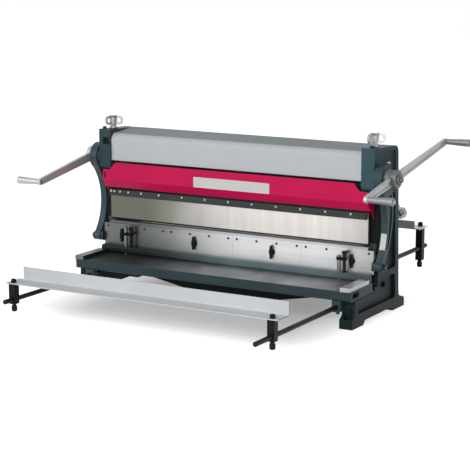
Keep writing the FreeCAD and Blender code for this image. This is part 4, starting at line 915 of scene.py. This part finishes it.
@dataclass
class SideFrames(SubAssembly):
    """Cast side frames with tie rods, bushes and oil cups."""

    finishes: dict[str, Finish] = field(default_factory=lambda: {
        "right_frame": RIGHT_SLATE_LIT, "left_frame": FRAME_SLATE, "tie_rods": TURNED,
        "cap_screws": BLACK_STEEL, "oilers": OILER_PAIR, "shaft_bushes": BRONZE,
    })


@dataclass
class ShearTable(SubAssembly):
    """Table with its bed, fixed blade and guide strips."""

    finishes: dict[str, Finish] = field(default_factory=lambda: {
        "table": TABLE_IRON, "fixed_blade": GROUND, "lower_bed": SHADED_SLATE, "table_guides": GROUND,
        "rod_brackets": SLATE, "gauge_rods": BLACK_STEEL,
    })


@dataclass
class BendingHead(SubAssembly):
    """Crosshead with the bending dies, clamp bar and guard.

    Attributes:
        plate_size: Width and height of the bare plate on the guard, in metres.
        plate_thickness: Its thickness.
        plate_corner: Its corner radius.
        plate_centre: Its middle.
        lug_depth: Front and back of the crosshead's end lugs along Y.
        lug_profile: Distance from the middle and height of a lug's corners, from its foot.
        lug_round: Width of the bevel on its upper edges.
    """

    finishes: dict[str, Finish] = field(default_factory=lambda: {
        "upper_crosshead": SLATE, "bending_dies": DIE_STEEL, "die_clamp_bar": CLAMP_PAINT,
        "clamp_screws": BRIGHT, "guard": GUARD_RED, "guard_screws": BRIGHT,
    })
    plate_size: Span = (0.299, 0.036)
    plate_thickness: float = 0.0006
    plate_corner: float = 0.002
    plate_centre: Point = (0.007, -0.0583, 0.410)
    lug_depth: Span = (-0.012, 0.016)
    lug_profile: tuple[Span, ...] = (
        (0.385, 0.4250), (0.4925, 0.4250), (0.4925, 0.4432), (0.425, 0.4432), (0.400, 0.4330),
    )
    lug_round: float = 0.0012

    def build(self) -> None:
        """Add the bare plate on the guard and the near-black lugs on the crosshead's ends, painted
        shade behind the guard's cut corners.
        """
        for name, side in (("crosshead_lug_left", -1.0), ("crosshead_lug_right", 1.0)):
            self.add_shade_lug(name, side)
        work = upright_plate(
            self.plate_size, self.plate_thickness, self.plate_corner, self.plate_centre
        )
        plate = place_mesh("guard_plate", work, LABEL_WHITE)
        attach(plate, "base")
        LOG.info("added %s", plate.name)

    def add_shade_lug(self, name: str, side: float) -> None:
        """Extrude a near-black lug on one end of the crosshead, which puts painted shade in the
        gap behind the guard's cut corner, and round its edges.

        Args:
            name: Name of the piece.
            side: Sign of the end along X.
        """
        work = bmesh.new()
        front, back = self.lug_depth
        extrude_back(work, [(side * x, front, z) for x, z in self.lug_profile], back - front)
        foot = self.lug_profile[0][1]
        upper = [edge for edge in work.edges if max(v.co.z for v in edge.verts) > foot + SLACK]
        soften(work, upper, self.lug_round)
        lug = place_mesh(name, work, SHADED_SLATE)
        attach(lug, "base")
        LOG.info("added %s", lug.name)


@dataclass
class RollHead(SubAssembly):
    """Rolls with their blocks, knobs and cover."""

    finishes: dict[str, Finish] = field(default_factory=lambda: {
        "roll_cover": COVER_GREY, "upper_roll": OILED, "upper_roll_blocks": DARK_STEEL,
        "rear_roll": OILED, "rear_roll_blocks": TURNED, "left_top_knob": CAST_KNOB,
        "right_top_knob": CAST_KNOB, "left_rear_knob": CAST_KNOB, "right_rear_knob": CAST_KNOB,
    })


@dataclass
class Drive(SubAssembly):
    """Crankshaft with its cranks, grips and connecting arms.

    Attributes:
        bow_axis: Y and Z of the axis of the right arm's bowed front edge, in metres.
        bow_radius: Radius of that edge.
        plate_across: Where the bare plate on the edge starts and ends along X.
        plate_stand: How far the plate's back and front stand off that edge.
        plate_turn: Where it starts and ends round the axis, in degrees above level.
        plate_steps: Steps along its bow.
    """

    finishes: dict[str, Finish] = field(default_factory=lambda: {
        "lower_roll": OILED, "eccentrics": TURNED, "right_crank": HUB_STEEL,
        "left_crank": PLATED, "grip_pins": TURNED, "right_long_grip": DARK_GRIP,
        "right_short_grip": DARK_GRIP, "left_grip": GRIP_STEEL, "right_connecting_arm": SLATE,
        "left_connecting_arm": SLATE,
    })
    bow_axis: Span = (-0.1876, 0.3099)
    bow_radius: float = 0.1837
    plate_across: Span = (0.548, 0.568)
    plate_stand: Span = (0.0002, 0.0008)
    plate_turn: Span = (-24.5, -7.5)
    plate_steps: int = 10

    def build(self) -> None:
        """Add the bare plate on the right connecting arm's front edge."""
        work = bmesh.new()
        start, end = (math.radians(turn) for turn in self.plate_turn)
        axis_y, axis_z = self.bow_axis
        left, right = self.plate_across
        back, front = self.plate_stand
        corners = []
        for x, stand in ((left, back), (right, back), (right, front), (left, front)):
            radius = self.bow_radius - stand
            corners.append(work.verts.new(
                (x, axis_y + radius * math.cos(start), axis_z + radius * math.sin(start))
            ))
        section = work.faces.new(corners)
        bmesh.ops.spin(
            work, geom=[section, *section.edges, *section.verts], cent=(0.0, axis_y, axis_z),
            axis=(1.0, 0.0, 0.0), angle=end - start, steps=self.plate_steps,
            use_duplicate=False,
        )
        plate = place_mesh("arm_plate", work, LABEL_WHITE)
        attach(plate, "right_arm")
        LOG.info("added %s", plate.name)


@dataclass
class BendingBeam(SubAssembly):
    """Moving beam with its plates, V-dies, blade and wing screws.

    Attributes:
        profile: Distance from the front and radius of each ring of a screw's turned part.
        turned_steps: Steps round the turned part.
        wing_depth: Distances from the front at which a wing's faces lie.
        root: Half width and height above the axis of a wing's root, inside the hub.
        waist: Half width and height of the wing where it narrows.
        tip: Half width and radius of its round tip.
        tip_steps: Steps round the tip.
        wing_round: Width of the bevel on its front edges.
    """

    finishes: dict[str, Finish] = field(default_factory=lambda: {
        "beam": SLATE, "front_plates": GROUND, "plate_screws": DARK_STEEL, "v_dies": VDIE_STEEL,
        "moving_blade": OILED, "beam_pins": DARK_STEEL, "beam_guides": DARK_STEEL,
        **dict.fromkeys(WING_SCREWS, BLACK),
    })
    profile: tuple[Span, ...] = (
        (0.0, 0.0), (0.0, 0.0052), (0.0008, 0.0064), (0.0070, 0.0104), (0.0088, 0.0108),
        (0.0090, 0.0116), (0.0112, 0.0119), (0.0115, 0.0119), (0.0115, 0.0050),
        (0.0245, 0.0050), (0.0245, 0.0),
    )
    turned_steps: int = 28
    wing_depth: Span = (0.0012, 0.0075)
    root: Span = (0.0069, 0.003)
    waist: Span = (0.0046, 0.0115)
    tip: float = 0.0036
    tip_steps: int = 6
    wing_round: float = 0.0009

    def build(self) -> None:
        """Add the wing screws: turned hubs with a slim wing above and below."""
        for name in WING_SCREWS:
            low, high = (Vector(corner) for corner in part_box(name))
            middle = Vector(((low.x + high.x) / 2, low.y, (low.z + high.z) / 2))
            half = (high.z - low.z) / 2
            work = self.turned_part(middle)
            for side in (-1, 1):
                self.add_wing(work, middle, side * half)
            screw = place_mesh(name + "_look", work, BLACK)
            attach(screw, name)
            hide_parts(name)
            LOG.info("added %s", screw.name)

    def turned_part(self, front: Vector) -> bmesh.types.BMesh:
        """Spin the screw's hub, washer and shank about its axis.

        Args:
            front: Middle of the screw's front face.

        Returns:
            The bmesh.
        """
        work = bmesh.new()
        ring = [work.verts.new(front + Vector((radius, depth, 0.0)))
                for depth, radius in self.profile]
        edges = [work.edges.new(pair) for pair in zip(ring, ring[1:])]
        bmesh.ops.spin(
            work, geom=[*ring, *edges], cent=front, axis=(0.0, 1.0, 0.0),
            angle=2 * math.pi, steps=self.turned_steps, use_merge=True, use_duplicate=False,
        )
        bmesh.ops.remove_doubles(work, verts=work.verts, dist=WELD)
        return work

    def add_wing(self, work: bmesh.types.BMesh, front: Vector, reach: float) -> None:
        """Extrude one wing with a round tip and soften its edges.

        Args:
            work: The bmesh that takes the wing.
            front: Middle of the screw's front face.
            reach: Signed height of the wing's end above the screw's axis.
        """
        sign = math.copysign(1.0, reach)
        crown = abs(reach) - self.tip
        near, far = self.wing_depth
        (root, root_height), (waist, waist_height) = self.root, self.waist
        outline = [(-root, root_height), (root, root_height), (waist, waist_height)]
        for step in range(self.tip_steps + 1):
            turn = math.pi * step / self.tip_steps
            outline.append((self.tip * math.cos(turn), crown + self.tip * math.sin(turn)))
        outline.append((-waist, waist_height))
        corners = [front + Vector((x, near, sign * z)) for x, z in outline]
        face = extrude_back(work, corners, far - near)
        soften(work, list(face.edges), self.wing_round)


@dataclass
class HoldDown(SubAssembly):
    """Hold-down bar with its posts and clamp screws."""

    finishes: dict[str, Finish] = field(default_factory=lambda: {
        "hold_down_bar": HOLD_PAINT, "hold_down_posts": POST_STEEL, "left_tee_screw": BLACK_STEEL,
        "right_tee_screw": BLACK_STEEL,
    })


@dataclass
class Gauges(SubAssembly):
    """Front and rear gauges with their posts and thumb knobs."""

    finishes: dict[str, Finish] = field(default_factory=lambda: {
        "front_gauge_bar": GAUGE, "rear_gauge_bar": BAR_STEEL, "front_gauge_posts": BLACK,
        "rear_gauge_posts": BLACK, "front_left_thumb_knob": BLACK_STEEL,
        "front_right_thumb_knob": BLACK_STEEL, "rear_left_thumb_knob": BLACK_STEEL,
        "rear_right_thumb_knob": BLACK_STEEL,
    })


# ---------------------------------------------------------------------------
# Studio
# ---------------------------------------------------------------------------


@dataclass(frozen=True)
class Lamp:
    """A square area lamp.

    Attributes:
        name: Name of the lamp.
        place: Where it hangs, in metres.
        size: Its side, in metres.
        power: Power in watts.
    """

    name: str
    place: Point
    size: float
    power: float


@dataclass
class Studio:
    """Floor, lights, world and camera.

    Attributes:
        eye: Where the camera stands, in metres.
        heading: Turn of the view about the vertical, in degrees.
        dip: How far the view points below the horizon, in degrees.
        focal: Focal length in pixels of the square picture.
        picture: Side of the square picture, in pixels.
        sensor: Width of the camera's sensor, in millimetres.
        sight: How far the camera sees, in metres.
        floor_reach: How far the floor reaches to each side, in metres.
        floor_grey: Grey of the floor where only light falls on it.
        floor_rough: Roughness of the floor.
        floor_glow: Extra white of the floor where it is seen or reflected, near and far.
        shade_centre: Middle of the patch round the machine where the floor glows less, which
            paints shade there.
        shade_half: Half sizes of that patch, in metres.
        shade_fade: Width of the band in which the floor brightens round it.
        sky: Strength of the world's soft light.
        aim: Point that the lamps face.
        lamps: The lamps.
    """

    eye: Point = (2.6134, -4.5436, 1.2367)
    heading: float = 30.0
    dip: float = 10.9
    focal: float = 1540.0
    picture: float = 470.0
    sensor: float = 36.0
    sight: float = 60.0
    floor_reach: float = 14.0
    floor_grey: float = 0.62
    floor_rough: float = 0.9
    floor_glow: Span = (0.22, 0.98)
    shade_centre: Point = (-0.01, -0.08, 0.0)
    shade_half: Point = (0.30, 0.20, 0.0)
    shade_fade: float = 0.40
    sky: float = 0.30
    aim: Point = (0.0, 0.0, 0.3)
    lamps: tuple[Lamp, ...] = (
        Lamp("key", place=(0.6, -3.0, 1.5), size=1.8, power=56.0),
        Lamp("fill", place=(-3.2, -3.4, 2.2), size=2.6, power=45.0),
    )

    def build(self) -> None:
        """Set up the whole studio."""
        self.set_camera()
        self.lay_floor()
        self.light_world()
        for lamp in self.lamps:
            self.hang(lamp)
        bpy.context.scene.view_settings.view_transform = "Standard"

    def set_camera(self) -> None:
        """Create the camera and make it the scene's."""
        data = bpy.data.cameras.new("camera")
        data.sensor_width = self.sensor
        data.lens = self.focal / self.picture * self.sensor
        data.clip_end = self.sight
        made = bpy.data.objects.new("camera", data)
        made.location = self.eye
        made.rotation_euler = (math.radians(90.0 - self.dip), 0.0, math.radians(self.heading))
        bpy.context.collection.objects.link(made)
        bpy.context.scene.camera = made

    def lay_floor(self) -> None:
        """Lay a pale floor that keeps the machine's shadow; its glow is weaker round the machine,
        painted shade there.
        """
        work = bmesh.new()
        bmesh.ops.create_grid(work, x_segments=2, y_segments=2, size=self.floor_reach)
        made = add_object("floor", work)
        material = bpy.data.materials.new("floor_paper")
        material.use_nodes = True
        wires = Wiring(material.node_tree)
        shader = material.node_tree.nodes["Principled BSDF"]
        wires.feed(shader.inputs["Base Color"], (self.floor_grey,) * 3)
        wires.feed(shader.inputs["Roughness"], self.floor_rough)
        wires.feed(shader.inputs["Specular IOR Level"], 0.0)
        wires.feed(shader.inputs["Emission Color"], WHITE)
        place = wires.add("TexCoord").outputs["Object"]
        beyond = wires.vector_math("SUBTRACT", place, self.shade_centre)
        beyond = wires.vector_math("ABSOLUTE", beyond.outputs["Vector"])
        beyond = wires.vector_math("SUBTRACT", beyond.outputs["Vector"], self.shade_half)
        beyond = wires.vector_math("MAXIMUM", beyond.outputs["Vector"], (0.0, 0.0, 0.0))
        away = wires.vector_math("LENGTH", beyond.outputs["Vector"]).outputs["Value"]
        # The glow is weaker round the machine: painted shade there, on top of its rendered shadow.
        glow = wires.spread(away, (0.0, self.shade_fade), self.floor_glow, smooth=True)
        glow = wires.math("MULTIPLY", self.seen(wires), glow)
        wires.feed(shader.inputs["Emission Strength"], glow)
        made.data.materials.append(material)

    @staticmethod
    def seen(wires: Wiring) -> Socket:
        """Mask of the rays by which the backdrop is seen, reflected or seen through glass.

        Args:
            wires: Wiring of the floor's material or of the world.

        Returns:
            The mask's socket.
        """
        path = wires.add("LightPath").outputs
        mask = wires.math("MAXIMUM", path["Is Camera Ray"], path["Is Glossy Ray"])
        return wires.math("MAXIMUM", mask, path["Is Transmission Ray"])

    def light_world(self) -> None:
        """White backdrop for the camera and reflections, soft light for the rest."""
        world = bpy.data.worlds.new("studio")
        bpy.context.scene.world = world
        world.use_nodes = True
        world.node_tree.nodes.clear()
        wires = Wiring(world.node_tree)
        light = wires.add("Background")
        wires.feed(light.inputs["Strength"], self.sky)
        white = wires.add("Background")
        wires.feed(white.inputs["Color"], WHITE)
        wires.feed(white.inputs["Strength"], 1.0)
        both = wires.add("MixShader")
        wires.feed(both.inputs["Fac"], self.seen(wires))
        wires.feed(both.inputs[1], light.outputs["Background"])
        wires.feed(both.inputs[2], white.outputs["Background"])
        out = wires.add("OutputWorld")
        wires.feed(out.inputs["Surface"], both.outputs["Shader"])

    def hang(self, lamp: Lamp) -> None:
        """Hang a lamp that points at the machine.

        Args:
            lamp: The lamp.
        """
        data = bpy.data.lights.new(lamp.name, "AREA")
        data.size = lamp.size
        data.energy = lamp.power
        made = bpy.data.objects.new(lamp.name, data)
        made.location = lamp.place
        direction = Vector(self.aim) - Vector(lamp.place)
        made.rotation_euler = direction.to_track_quat("-Z", "Y").to_euler()
        bpy.context.collection.objects.link(made)


def main() -> None:
    """Load the frame, dress every group, add its pieces and the studio."""
    logging.basicConfig(level=logging.INFO, format="%(name)s: %(message)s")
    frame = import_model()
    for make in (make_grain, make_grime, make_level, make_band, make_painted_dark_ends):
        make()
    kinds = (SideFrames, ShearTable, BendingHead, RollHead, Drive, BendingBeam, HoldDown, Gauges)
    for kind in kinds:
        group = kind(frame["nodes"])
        group.dress()
        group.build()
    Studio().build()


if __name__ == "__main__":
    main()
